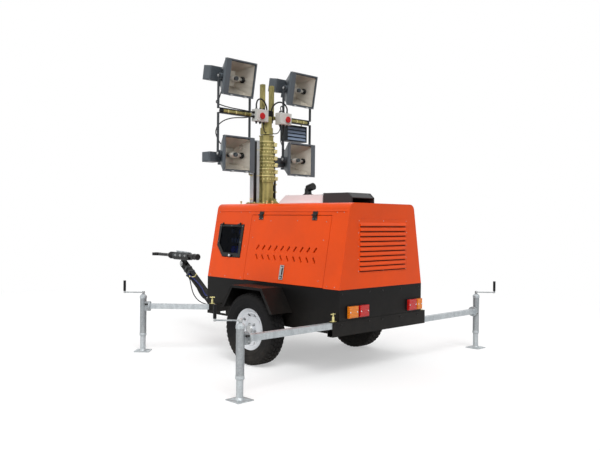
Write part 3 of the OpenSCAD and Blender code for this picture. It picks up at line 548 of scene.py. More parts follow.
class Finishes:
    """Every finish of the machine."""

    orange = Finish("orange_paint", "orange_paint", colour(234, 78, 12), rough=0.38, coat=0.06, gloss=0.2, grain=520.0,
                    depth=0.03, wear=0.1, dust=0.03, dust_top=1.0, edge_mm=3.0)
    # Near-black painted shade, laid under the louvre hoods and inside the beam holes.
    inside = Finish("lining", "black_paint", colour(14, 14, 15), rough=0.8, gloss=0.1, grain=300.0, depth=0.1, wear=0.0,
                    dust=0.05)
    black = Finish("black_paint", "black_paint", colour(11, 10, 10), rough=0.45, gloss=0.14, grain=700.0, depth=0.06,
                   wear=0.2, dust=0.07, dust_top=0.7)
    gloss_black = Finish("gloss_black", "black_paint", colour(13, 13, 14), rough=0.25, gloss=0.3, grain=400.0, depth=0.01,
                         wear=0.1, dust=0.04)
    galvanised = ZincFinish("galvanised", "galvanised", colour(188, 194, 197), rough=0.42, metal=0.45, grain=260.0,
                            depth=0.04, wear=0.0, dust=0.1, dust_top=0.25, second=colour(160, 166, 170), flake=110.0,
                            contrast=0.1)
    jack = GripFinish("galvanised_jack", "galvanised", colour(160, 164, 166), rough=0.44, metal=0.45, grain=260.0, depth=0.04,
                      wear=0.0, dust=0.1, dust_top=0.25, second=colour(128, 134, 138), flake=110.0, contrast=0.12)
    olive = ZincFinish("yellow_zinc", "yellow_zinc", colour(156, 146, 92), rough=0.34, metal=0.6, grain=300.0, depth=0.03,
                       wear=0.1, dust=0.0, dust_top=1.6, second=colour(104, 102, 62), flake=28.0, contrast=0.14)
    bright_zinc = ZincFinish("bright_zinc", "yellow_zinc", colour(222, 212, 150), rough=0.3, metal=0.6, grain=300.0,
                             depth=0.02, wear=0.0, dust=0.0, second=colour(176, 160, 104), flake=60.0, contrast=0.12)
    housing = Finish("lamp_grey", "lamp_grey", colour(92, 99, 105), rough=0.42, metal=0.1, grain=480.0, depth=0.08,
                     wear=0.12, dust=0.0)
    bracket = Finish("bracket_grey", "lamp_grey", colour(58, 62, 66), rough=0.45, grain=500.0, depth=0.05, wear=0.2, dust=0.0)
    pane = GlassFinish("lamp_glass", "lamp_glass", colour(247, 247, 246), rough=0.03, clear=0.97)
    smoked = GlassFinish("smoked_glass", "smoked_glass", colour(150, 164, 186), rough=0.05, clear=0.96)
    reflector = ReflectorFinish("reflector_metal", "rim_silver", colour(232, 226, 216), rough=0.3, metal=0.5, wear=0.0,
                                dust=0.0, depth=0.12)
    bulb = Finish("bulb_glass", "white_plastic", colour(232, 232, 226), rough=0.12, coat=0.6, wear=0.0, dust=0.0)
    rubber = RubberFinish("tyre_rubber", "tyre", colour(22, 22, 23), rough=0.78, gloss=0.15, grain=420.0, depth=0.12, wear=0.0,
                          dust=0.12, dust_top=0.35)
    cable = RubberFinish("cable_rubber", "tyre", colour(16, 16, 18), rough=0.5, grain=900.0, depth=0.03, wear=0.0, dust=0.0)
    blue_cable = RubberFinish("blue_cable", "tyre", colour(36, 44, 104), rough=0.5, grain=900.0, depth=0.03, wear=0.0, dust=0.0)
    silver = Finish("rim_silver", "rim_silver", colour(214, 217, 221), rough=0.3, metal=0.4, coat=0.2, grain=600.0,
                    depth=0.02, wear=0.1, dust=0.1, dust_top=0.5)
    steel = ZincFinish("fastener_steel", "galvanised", colour(180, 182, 182), rough=0.28, metal=0.85, grain=500.0, depth=0.02,
                       wear=0.0, dust=0.0, second=colour(140, 142, 144), flake=200.0, contrast=0.1)
    cast = Finish("cast_grey", "galvanised", colour(74, 77, 78), rough=0.55, metal=0.4, grain=330.0, depth=0.25, wear=0.3,
                  dust=0.03)
    white = Finish("white_paint", "white_paint", colour(232, 240, 243), rough=0.35, coat=0.1, grain=600.0, depth=0.03,
                   wear=0.08, dust=0.05, dust_top=2.0)
    box_white = Finish("white_plastic", "white_plastic", colour(212, 212, 207), rough=0.4, grain=350.0, depth=0.04, wear=0.0,
                       dust=0.04, dust_top=3.0)
    red = Finish("red_cap", "red_lens", colour(190, 16, 18), rough=0.3, coat=0.1, grain=500.0, wear=0.05, dust=0.0)
    red_lens = LensFinish("red_lens", "red_lens", colour(196, 22, 18), rough=0.2, coat=0.3, depth=0.25, wear=0.0, dust=0.03)
    amber_lens = LensFinish("amber_lens", "amber_lens", colour(238, 128, 14), rough=0.2, coat=0.3, depth=0.25, wear=0.0,
                            dust=0.03)
    panel = Finish("dark_panel", "dark_panel", colour(38, 42, 48), rough=0.5, grain=500.0, depth=0.08, wear=0.1, dust=0.0)
    socket_blue = Finish("socket_blue", "dark_panel", colour(30, 104, 250), rough=0.35, grain=500.0, wear=0.0, dust=0.0)
    slat = Finish("slat_blue_grey", "lamp_grey", colour(142, 158, 182), rough=0.4, grain=500.0, wear=0.15, dust=0.0)
    hood = Finish("hood_black", "black_paint", colour(50, 51, 53), rough=0.4, gloss=0.3, grain=700.0, depth=0.05, wear=0.1,
                  dust=0.02)
    screen = ScreenFinish("screen", "dark_panel", colour(90, 160, 255))
    iron = Finish("engine_iron", "engine_iron", colour(74, 78, 82), rough=0.65, metal=0.2, grain=220.0, depth=0.4, wear=0.2,
                  dust=0.1, dust_top=1.5)


# Mesh building


class Shape:
    """Collects mesh parts, given in a local frame in millimetres, into one piece."""

    def __init__(self, place: Matrix) -> None:
        """Start empty.

        Args:
            place: Matrix from local millimetres to row-frame metres.
        """
        self.place = place
        self.mesh = bmesh.new()

    def loft(self, rings: Sequence[Sequence[Point]], close: bool = True, cap: bool = True) -> None:
        """Skin a row of rings that have the same number of points.

        Args:
            rings: Local points of each ring.
            close: Whether each ring is a loop.
            cap: Whether the first and last rings are filled.
        """
        made = [[self.mesh.verts.new(self.place @ Vector(p)) for p in ring] for ring in rings]
        count = len(made[0])
        for low, high in zip(made, made[1:]):
            for i in range(count if close else count - 1):
                j = (i + 1) % count
                self.mesh.faces.new((low[i], low[j], high[j], high[i]))
        if cap:
            self.mesh.faces.new(list(reversed(made[0])))
            self.mesh.faces.new(made[-1])

    def block(self, low: Point, high: Point) -> "Shape":
        """Add a box between two corners.

        Args:
            low: Lowest corner.
            high: Highest corner.

        Returns:
            This shape.
        """
        (x0, y0, z0), (x1, y1, z1) = low, high
        self.loft([[(x0, y0, z), (x1, y0, z), (x1, y1, z), (x0, y1, z)] for z in (z0, z1)])
        return self

    def prism(self, outline: Sequence[tuple[float, float]], start: float, end: float, axis: str = "y") -> "Shape":
        """Extrude an outline along an axis.

        Args:
            outline: Points across the axis, in the order of the two other axes.
            start: Where the prism starts along the axis.
            end: Where it ends.
            axis: Name of the axis.

        Returns:
            This shape.
        """
        order = {"x": lambda a, b, t: (t, a, b), "y": lambda a, b, t: (a, t, b), "z": lambda a, b, t: (a, b, t)}[axis]
        self.loft([[order(a, b, t) for a, b in outline] for t in (start, end)])
        return self

    def lathe(self, profile: Sequence[tuple[float, float]], origin: Point, axis: Point = (0, 0, 1), steps: int = 24,
              ends: bool = True) -> "Shape":
        """Turn a profile about an axis.

        Args:
            profile: Radius and distance along the axis of each point.
            origin: Local point where the distance is 0.
            axis: Direction of the axis.
            steps: Facets round the axis.
            ends: Whether both ends are filled.

        Returns:
            This shape.
        """
        along = Vector(axis).normalized()
        side = along.orthogonal().normalized()
        other = along.cross(side)
        turns = [2 * math.pi * (i + 0.5) / steps for i in range(steps)]
        self.loft([[Vector(origin) + along * d + (side * math.cos(t) + other * math.sin(t)) * max(r, 0.01) for t in turns]
                   for r, d in profile], cap=ends)
        return self

    def rod(self, start: Point, end: Point, radius: float, steps: int = 16, chamfer: float = 0.0) -> "Shape":
        """Add a round rod, its ends chamfered where asked.

        Args:
            start: Centre of the first end.
            end: Centre of the last end.
            radius: Its radius.
            steps: Facets round it.
            chamfer: Depth of the chamfer at both ends.

        Returns:
            This shape.
        """
        axis = Vector(end) - Vector(start)
        c, length = chamfer, axis.length
        profile = [(radius, 0), (radius, length)] if not c else [(radius - c, 0), (radius, c), (radius, length - c), (radius - c, length)]
        return self.lathe(profile, start, axis, steps)

    def bolt(self, seat: Point, axis: Point, across: float = 10.0, height: float = 6.0) -> "Shape":
        """Add a hexagon bolt head on a washer.

        Args:
            seat: Centre of the washer's underside.
            axis: Direction in which the head stands up.
            across: Radius of the hexagon.
            height: Height of the head.

        Returns:
            This shape.
        """
        self.lathe([(across * 1.35, 0), (across * 1.35, height * 0.2)], seat, axis, 16)
        self.lathe([(across, height * 0.2), (across, height * 0.92), (across * 0.86, height)], seat, axis, 6)
        return self

    def dome(self, seat: Point, axis: Point, radius: float = 5.0, height: float = 2.5, steps: int = 12) -> "Shape":
        """Add a rivet's or screw's round head.

        Args:
            seat: Centre of its underside.
            axis: Direction in which it stands up.
            radius: Its radius.
            height: Its height.
            steps: Facets round it.

        Returns:
            This shape.
        """
        rise = [(radius * math.cos(a), height * math.sin(a)) for a in (0.0, 0.5, 1.0, 1.5)]
        return self.lathe(rise, seat, axis, steps)

    def tube(self, path: Sequence[Point], radius: float, steps: int = 8, smooth: int = 6) -> "Shape":
        """Sweep a round section along a smooth path.

        Args:
            path: Local points that the path passes through.
            radius: Radius of the section.
            steps: Facets round it.
            smooth: Points laid between two given points.

        Returns:
            This shape.
        """
        points = smooth_path([Vector(p) for p in path], smooth)
        normal = (points[1] - points[0]).orthogonal().normalized()
        rings = []
        for i, point in enumerate(points):
            ahead = (points[min(i + 1, len(points) - 1)] - points[max(i - 1, 0)]).normalized()
            normal = (normal - ahead * normal.dot(ahead)).normalized()
            other = ahead.cross(normal)
            rings.append([point + (normal * math.cos(t) + other * math.sin(t)) * radius
                          for t in (2 * math.pi * k / steps for k in range(steps))])
        self.loft(rings)
        return self

    def piece(self, name: str, finish: Finish, body: str | None, smoothing: Smoothing = Smoothing.PRESSED, bevel: float = 0.0,
              closed: bool = True) -> bpy.types.Object:
        """Turn what was collected into a Blender object that rides on a body.

        Args:
            name: The piece's name.
            finish: Its finish.
            body: The body that it rides on, or None, which leaves it unattached.
            smoothing: How sharp edges are told from round ones.
            bevel: Width of the bevel on sharp edges, in millimetres.
            closed: Whether all its parts are closed, so that faces can be turned outward.

        Returns:
            The new object.
        """
        if closed:
            bmesh.ops.recalc_face_normals(self.mesh, faces=self.mesh.faces)
        limit = math.radians(smoothing.value)
        for face in self.mesh.faces:
            face.smooth = smoothing is not Smoothing.FACETED
        for edge in self.mesh.edges:
            edge.smooth = len(edge.link_faces) == 2 and edge.calc_face_angle(0.0) <= limit
        data = bpy.data.meshes.new(name)
        self.mesh.to_mesh(data)
        self.mesh.free()
        piece = bpy.data.objects.new(name, data)
        bpy.context.scene.collection.objects.link(piece)
        data.materials.append(finish.material())
        if bevel:
            rounding = piece.modifiers.new("rounding", "BEVEL")
            rounding.width, rounding.segments, rounding.limit_method = bevel * MM, 2, "ANGLE"
            rounding.angle_limit = math.radians(40)
            rounding.harden_normals = False
        if body:
            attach(piece, body)
        log.info("%s: %d faces", name, len(data.polygons))
        return piece


def smooth_path(points: Sequence[Vector], between: int) -> list[Vector]:
    """A smooth line through points.

    Args:
        points: Points that the line passes through.
        between: Points laid between two of them.

    Returns:
        The points of the line.
    """
    padded = [points[0] * 2 - points[1], *points, points[-1] * 2 - points[-2]]
    line = []
    for a, b, c, d in zip(padded, padded[1:], padded[2:], padded[3:]):
        for i in range(between):
            t = i / between
            line.append(0.5 * ((2 * b) + (c - a) * t + (2 * a - 5 * b + 4 * c - d) * t * t + (3 * b - a - 3 * c + d) * t ** 3))
    line.append(points[-1].copy())
    return line


def cable(name: str, finish: Finish, radius: float, path: Sequence[Vector], body: str | None = None) -> bpy.types.Object:
    """Args:
        name: The cable's name.
        finish: Its finish.
        radius: Its radius in metres.
        path: Row-frame points that it passes through, from its exit.
        body: The body that it rides on, or None, which leaves it unattached.

    Returns:
        The new object.
    """
    points = smooth_path(path, max(2, 36 // (len(path) - 1)))
    piece = Shape(Matrix.Identity(4)).tube(points, radius, 12, 1).piece(name, finish, body, Smoothing.ROUND)
    return piece


def relief(name: str, place: Matrix, seat: Point, axis: Point, body: str) -> bpy.types.Object:
    """Build the tapered strain relief where a cable leaves or enters a housing.

    Args:
        name: The piece's name.
        place: Local frame in millimetres.
        seat: Its foot on the housing.
        axis: Direction in which the cable leaves.
        body: The body that it rides on.

    Returns:
        The new object.
    """
    sleeve = Shape(place)
    sleeve.lathe([(14, -3), (14, 7), (11.5, 9), (9.4, 22), (8.4, 34)], seat, axis, 16)
    return sleeve.piece(name, Finishes.cable, body)


def dress(finish: Finish, *nodes: str) -> None:
    """Give carried-over nodes their finish.

    Args:
        finish: The finish.
        nodes: Names of the nodes.
    """
    for name in nodes:
        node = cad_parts[name]
        for slot in node.material_slots:
            slot.material = finish.material()


# Sub-assemblies

# Width of the solid strip beside a lamp's glass, in millimetres
STRIP = 62


@dataclass
class Body:
    """Canopy, doors, rear panel, skirt and the trim on them.

    Args:
        datum: The machine's datum.
        rivets: Places on the left side, ahead and up the slope.
        door_rivets: The same on a door.
    """

    datum: Datum
    rivets: Sequence[tuple[float, float]] = ((1316, 668), (1450, 668), (1790, 668), (1316, 22), (1560, 22), (1800, 22),
                                             (140, 668), (60, 668), (60, 22), (150, 22), (1324, 330), (1812, 300))
    door_rivets: Sequence[tuple[float, float]] = ((255, 585), (620, 590), (985, 585), (1225, 585), (262, 420), (1215, 420),
                                                  (262, 60), (1210, 60))

    def dress(self) -> None:
        """Finish the carried-over nodes of the body."""
        dress(Finishes.orange, "canopy", "rear_panel", "door_left", "door_right", "roof_ring")
        dress(Finishes.black, "skirt", "fenders", "chassis", "axle")
        dress(Finishes.hood, "roof_hood")
        dress(Finishes.gloss_black, "hinge_leaves", "door_fittings_left", "door_fittings_right", "exhaust_elbow")
        dress(Finishes.white, "silencer_box")
        dress(Finishes.iron, "engine_block")

    def build(self) -> None:
        """Build rivets, gutter, latches, roof trim and skirt trim."""
        for side in Side:
            self.build_side(side)
        self.build_roof()
        self.build_rear()
        self.build_fenders()

    def build_side(self, side: Side) -> None:
        """Rivets, gutter and latch of one side.

        Args:
            side: Which side.
        """
        label = side.name.lower()
        skin = self.datum.skin(side)
        heads = Shape(skin)
        for x, up in self.rivets:
            heads.dome((x, -0.4, up), (0, 1, 0), 4.2, 2.4)
        heads.piece(f"rivets_{label}", Finishes.steel, "trailer", Smoothing.ROUND)
        heads = Shape(skin)
        for x, up in self.door_rivets:
            heads.dome((x, -0.4, up), (0, 1, 0), 4.2, 2.4)
        heads.piece(f"door_rivets_{label}", Finishes.steel, f"door_{label}", Smoothing.ROUND)
        gutter = Shape(skin)
        gutter.prism([(0, 676), (3.5, 674), (4.5, 677), (4.5, 680), (0, 690)], 24, 1816, "x")
        gutter.piece(f"gutter_{label}", Finishes.orange, "trailer", bevel=0.8)
        latch = Shape(skin)
        for low, high in (((709, 3, 40), (759, 9.5, 47)), ((709, 3, 166), (759, 9.5, 173)), ((709, 3, 47), (716, 9.5, 166)),
                          ((752, 3, 47), (759, 9.5, 166))):
            latch.block(low, high)
        latch.block((727, 12, 82), (741, 17, 150)).block((719, 8, 144), (749, 15, 158)).block((719, 8, 74), (749, 13, 84))
        latch.rod((734, 8, 58), (734, 17, 58), 8.5, 20, 1.0)
        latch.piece(f"latch_{label}", Finishes.steel, f"door_{label}", bevel=0.8)
        screws = Shape(skin)
        for share in (0.19, 0.87):
            x = 200 + 1068 * share
            for dx in (-20, 20):
                screws.dome((x + dx, 3.8, 605), (0, 1, 0), 4.5, 2.2)
        screws.piece(f"hinge_screws_{label}", Finishes.steel, f"door_{label}", Smoothing.ROUND)

    def build_roof(self) -> None:
        """Bolts round the mast, roof knobs, hood ribs, and the silencer's cap, screws and flange."""
        roof = self.datum.at(0, 0, 1490)
        bolts = Shape(roof)
        for i in range(12):
            a = 2 * math.pi * i / 12 + 0.2
            bolts.bolt((1600 + 196 * math.cos(a) * 1.0, 196 * math.sin(a), 18.9), (0, 0, 1), 7.5, 8)
        bolts.piece("turntable_bolts", Finishes.bright_zinc, "mast", bevel=0.4)
        knobs = Shape(roof)
        for x, y in ((1330, 150), (1330, -150), (1345, 210), (1780, 190), (1795, -180)):
            knobs.lathe([(13, 0.3), (13, 5), (7, 7), (6, 20), (11, 24), (12, 32), (8, 37)], (x, y, 0), steps=16)
        knobs.piece("roof_knobs", Finishes.bright_zinc, "trailer", Smoothing.PRESSED)
        ribs = Shape(roof)
        for y in (-152, 148):
            ribs.prism([(240, 0.6), (240, 58), (288, 101), (606, 101), (606, 0.6)], y, y + 4, "y")
        ribs.block((586, -152, 98), (604, 152, 101.5)).block((300, -152, 98), (318, 152, 101.5))
        ribs.piece("hood_flanges", Finishes.hood, "trailer", bevel=0.8)
        cap = Shape(roof)
        cap.lathe([(56, 88.4), (56, 93), (50, 98), (42, 101), (38, 104)], (965, 0, 0), steps=32)
        cap.lathe([(37.5, 104), (37.5, 112), (35.5, 116)], (965, 0, 0), steps=32)
        cap.piece("silencer_collar", Finishes.gloss_black, "trailer")
        bolts = Shape(roof)
        for x, y in ((630, 140), (1100, 140), (630, -140), (1100, -140)):
            bolts.dome((x, y, 87.8), (0, 0, 1), 6, 3)
        bolts.piece("silencer_screws", Finishes.steel, "trailer", Smoothing.ROUND)
        seam = Shape(roof)
        seam.block((646, -163, 0.4), (1180, -158, 22)).block((646, 158, 0.4), (1180, 163, 22))
        seam.piece("silencer_flange", Finishes.white, "trailer", bevel=1.0)

    def build_rear(self) -> None:
        """Rivets of the rear panel, painted shade strips under its louvre hoods, screws and rubber seals of the tail
        lamps, and the skirt's bolts.
        """
        rear = self.datum.at(0, 0, 0)
        rivets = Shape(rear)
        for y in (-330, 0, 330):
            for z in (1334, 896):
                rivets.dome((0.4, y, z), (-1, 0, 0), 4, 2.2)
        for z in (1000, 1115, 1230):
            for y in (-338, 338):
                rivets.dome((0.4, y, z), (-1, 0, 0), 4, 2.2)
        rivets.piece("rear_rivets", Finishes.steel, "trailer", Smoothing.ROUND)
        # Painted shade: thin near-black strips on the band under each louvre hood, where only the hood's shade falls.
        shadow = Shape(rear)
        for i in range(10):
            z = 900.3 + i * 43
            shadow.block((-1.2, -316, z - 9), (-0.3, 316, z - 0.5))
        shadow.piece("louvre_gaps", Finishes.inside, "trailer")
        screws = Shape(rear)
        for y0, y1 in ((214, 336), (356, 476), (-473, -352), (-560, -484)):
            for y in (y0 + 16, y1 - 16):
                screws.dome((-29.8, y, 556), (-1, 0, 0), 6, 3)
                screws.block((-33.6, y - 0.9, 551), (-32.2, y + 0.9, 561))
        screws.piece("tail_lamp_screws", Finishes.white, "trailer", Smoothing.PRESSED)
        edge = Shape(rear)
        for y0, y1 in ((210, 480), (-564, -348)):
            edge.block((-7, y0, 501), (-0.5, y1, 505)).block((-7, y0, 607), (-0.5, y1, 611))
            edge.block((-7, y0, 505), (-0.5, y0 + 3, 607)).block((-7, y1 - 3, 505), (-0.5, y1, 607))
        edge.piece("tail_lamp_seals", Finishes.cable, "trailer", bevel=0.6)
        bolts = Shape(rear)
        for y in (-520, -260, 0, 180, 540):
            bolts.bolt((-0.2, y, 715), (-1, 0, 0), 6, 4)
            bolts.bolt((-0.2, y, 455), (-1, 0, 0), 6, 4)
        bolts.piece("skirt_bolts", Finishes.gloss_black, "trailer", bevel=0.4)

    def build_fenders(self) -> None:
        """Rolled lips and bolts of the mudguards."""
        for side in Side:
            label, s = side.name.lower(), side.value
            fender = self.datum.at(930, 0, 0)
            lip = Shape(fender)
            outer = 818 * s
            path = [(-357, outer, 509), (-214, outer, 720), (214, outer, 720), (357, outer, 509)]
            corners = [Vector(p) for p in path]
            for a, b in zip(corners, corners[1:]):
                lip.rod(a, b, 3.2, 10)
            for corner in corners:
                lip.dome(corner, (0, s, 0), 3.2, 3.2)
            lip.piece(f"mudguard_lip_{label}", Finishes.black, "trailer", Smoothing.ROUND)
            bolts = Shape(fender)
            for x in (-150, 0, 150):
                bolts.bolt((x, 600 * s, 722.2), (0, 0, 1), 6.5, 5)
                bolts.bolt((x, 790 * s, 722.2), (0, 0, 1), 5, 4)
            bolts.piece(f"mudguard_bolts_{label}", Finishes.gloss_black, "trailer", bevel=0.4)


@dataclass
class ControlStation:
    """Lid, window, display, sockets and breakers on the left side.

    Args:
        datum: The machine's datum.
        lid_x: Rear edge of the lid.
        lid_z: Its lower edge, up the slope.
    """

    datum: Datum
    lid_x: float = 1370.0
    lid_z: float = 215.0

    def dress(self) -> None:
        """Finish the lid, its window and the recessed box."""
        dress(Finishes.gloss_black, "control_lid")
        dress(Finishes.smoked, "control_glass")
        dress(Finishes.panel, "control_panel")

    def build(self) -> None:
        """Build the display, caps, breaker handles, knob and frame screws."""
        place = self.datum.skin(Side.LEFT) @ Matrix.Translation((self.lid_x, 0, self.lid_z))
        caps = Shape(place)
        for column in range(3):
            x = 90 + column * 78
            caps.lathe([(31.5, -108), (31.5, -99), (29, -94), (12, -92), (4, -91)], (x, 0, 78), (0, 1, 0), 28)
            caps.block((x - 22, -112, 108), (x + 22, -92, 118))
        caps.piece("socket_caps", Finishes.socket_blue, "trailer", bevel=0.8)
        levers = Shape(place)
        for column in range(6):
            x = 60 + column * 44
            levers.block((x + 3, -116, 160), (x + 27, -111, 206)).block((x + 10, -112, 184), (x + 20, -100, 196))
        levers.piece("breaker_levers", Finishes.box_white, "trailer", bevel=0.8)
        screen = Shape(place)
        screen.block((106, -120.5, 252), (206, -117, 290))
        screen.piece("display", Finishes.screen, "trailer", bevel=0.6)
        surround = Shape(place)
        for low, high in (((98, -121, 244), (214, -113, 252)), ((98, -121, 290), (214, -113, 298)),
                          ((98, -121, 252), (106, -113, 290)), ((206, -121, 252), (214, -113, 290))):
            surround.block(low, high)
        surround.piece("display_surround", Finishes.steel, "trailer", bevel=0.8)
        gauge = Shape(place)
        gauge.lathe([(24, -105), (24, -98), (21, -95), (19, -97), (2, -97)], (290, 0, 270), (0, 1, 0), 28)
        gauge.piece("gauge_rim", Finishes.steel, "trailer")
        knob = Shape(place)
        knob.lathe([(6, 13.5), (6, 19), (11, 21), (11.5, 27), (8, 30)], (385 * 0.32 + 20, 0, 12), (0, 1, 0), 18)
        knob.piece("lid_knob", Finishes.white, "control_lid")
        screws = Shape(place)
        for x, up in ((16, 310), (369, 310), (192, 312), (18, 150), (372, 150)):
            screws.dome((x, 4.8, up), (0, 1, 0), 4, 2)
        screws.piece("lid_screws", Finishes.steel, "control_lid", Smoothing.ROUND)
        seal = Shape(place)
        outline = [(385, 325), (385, 110.5), (277.2, 0), (0, 0), (0, 325)]
        inner = [(385 * 0.09 + x * 0.82, 325 * 0.12 + z * 0.82) for x, z in outline]
        ring = [Vector((x, 5.6, z)) for x, z in inner]
        for a, b in zip(ring, ring[1:] + ring[:1]):
            seal.rod(a, b, 2.2, 8)
        seal.piece("window_seal", Finishes.cable, "control_lid", Smoothing.ROUND)


@dataclass
class Wheel:
    """One road wheel: treaded tyre, nuts and valve.

    Args:
        datum: The machine's datum.
        side: Which wheel.
        radius: Tyre radius.
        lugs: Tread blocks in one row.
    """

    datum: Datum
    side: Side
    radius: float = 330.0
    lugs: int = 46
    place: Matrix = field(init=False)

    def __post_init__(self) -> None:
        """Find the wheel's local frame, with Z outward along the axle."""
        turn = Matrix.Rotation(math.radians(-90 * self.side.value), 4, "X")
        self.place = self.datum.at(930, 705 * self.side.value, self.radius) @ turn

    def dress(self) -> None:
        """Finish the rim."""
        dress(Finishes.silver, f"rim_{self.side.name.lower()}")

    def lug(self, shape: Shape, turn: float, width: float, slant: float, low: tuple[float, float], high: tuple[float, float]) -> None:
        """Add one tread block that follows the carcass.

        Args:
            shape: The tread.
            turn: Angle of its middle, in radians.
            width: Its angle round the wheel.
            slant: Angle between its two ends.
            low: Place across and outer radius of one end.
            high: The same of the other end.
        """
        rings = []
        for sink in (10.0, 0.0):
            ring = []
            for sign, (across, radius) in ((-1, low), (1, low), (1, high), (-1, high)):
                shrink = 1.0 if sink else 0.86
                angle = turn + sign * width / 2 * shrink + (slant if (across, radius) == high else 0.0)
                ring.append(((radius - sink) * math.cos(angle), (radius - sink) * math.sin(angle), across))
            rings.append(ring)
        shape.loft(rings)

    def build(self) -> None:
        """Build the tyre, the wheel nuts, the hub cap's ring and the valve."""
        label = self.side.name.lower()
        tyre = Shape(self.place)
        flank = [(190.4, 68), (196, 76), (206, 84), (216, 88.5), (226, 90.5), (229, 92.6), (233, 92.6), (236, 91.6), (252, 94),
                 (266, 94.6), (278, 93.8), (281, 95), (285, 94.8), (288, 92.5), (302, 88.5), (313, 82), (319, 74), (321, 66)]
        tread = [(321.5, 37.5), (317.5, 36), (317.5, 33.5), (322, 32), (322, 3), (318, 1.5)]
        half = flank + tread
        profile = [(r, -z) for r, z in half] + [(r, z) for r, z in reversed(half)]
        tyre.lathe(profile, (0, 0, 0), steps=96, ends=False)
        pitch = 2 * math.pi / self.lugs
        top = self.radius - 0.6
        for i in range(self.lugs):
            for sign in (1, -1):
                self.lug(tyre, i * pitch, pitch * 0.7, sign * 0.035, (sign * 40, top), (sign * 70, top - 3.0))
                self.lug(tyre, i * pitch + sign * 0.035, pitch * 0.62, sign * 0.012, (sign * 71, top - 3.4), (sign * 86, top - 16))
                self.lug(tyre, (i + 0.5) * pitch, pitch * 0.74, sign * 0.03, (sign * 5, top), (sign * 34, top))
        rubber = tyre.piece(f"tread_{label}", Finishes.rubber, f"wheel_{label}", Smoothing.PRESSED, closed=True)
        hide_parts(f"tyre_{label}")
        nuts = Shape(self.place)
        for i in range(5):
            a = 2 * math.pi * i / 5 + 0.3
            seat = (53 * math.cos(a), 53 * math.sin(a), 33.8)
            nuts.bolt(seat, (0, 0, 1), 8.5, 13)
            nuts.rod((seat[0], seat[1], 46), (seat[0], seat[1], 52), 4.5, 10, 1)
        nuts.piece(f"wheel_nuts_{label}", Finishes.steel, f"wheel_{label}", bevel=0.4)
        cap = Shape(self.place)
        cap.lathe([(40, 64), (42.5, 66), (40, 71), (30, 76), (14, 79), (3, 79.6)], (0, 0, 0), steps=32)
        cap.piece(f"hub_cap_{label}", Finishes.steel, f"wheel_{label}", Smoothing.ROUND)
        valve = Shape(self.place)
        valve.tube([(168, 8, 30), (160, 8, 46), (156, 8, 58)], 4.0, 10)
        valve.rod((156, 8, 57), (153, 8, 68), 5.0, 12, 1)
        valve.piece(f"valve_{label}", Finishes.cable, f"wheel_{label}", Smoothing.ROUND)


@dataclass(frozen=True)
class Rig:
    """Where one outrigger stands.

    Args:
        key: Short name in the nodes.
        body: Long name in the bodies.
        x: Distance ahead of the rear face.
        y: Distance to the left.
        z: Height of its beam.
        heading: Outward direction, in degrees.
        crank: Angle of its crank.
        beam: Length of its beam; not used.
    """

    key: str
    body: str
    x: float
    y: float
    z: float
    heading: float
    crank: float
    beam: float


RIGS = (Rig("rl", "rear_left", 34.3, 1605, 453.7, 90, -45, 1162), Rig("rr", "rear_right", 34.3, -1605, 391.1, -90, -45, 1162),
        Rig("fl", "front_left", 2150, 1138, 453.7, 45, 0, 865), Rig("fr", "front_right", 2150, -1138, 453.7, -45, 0, 865))


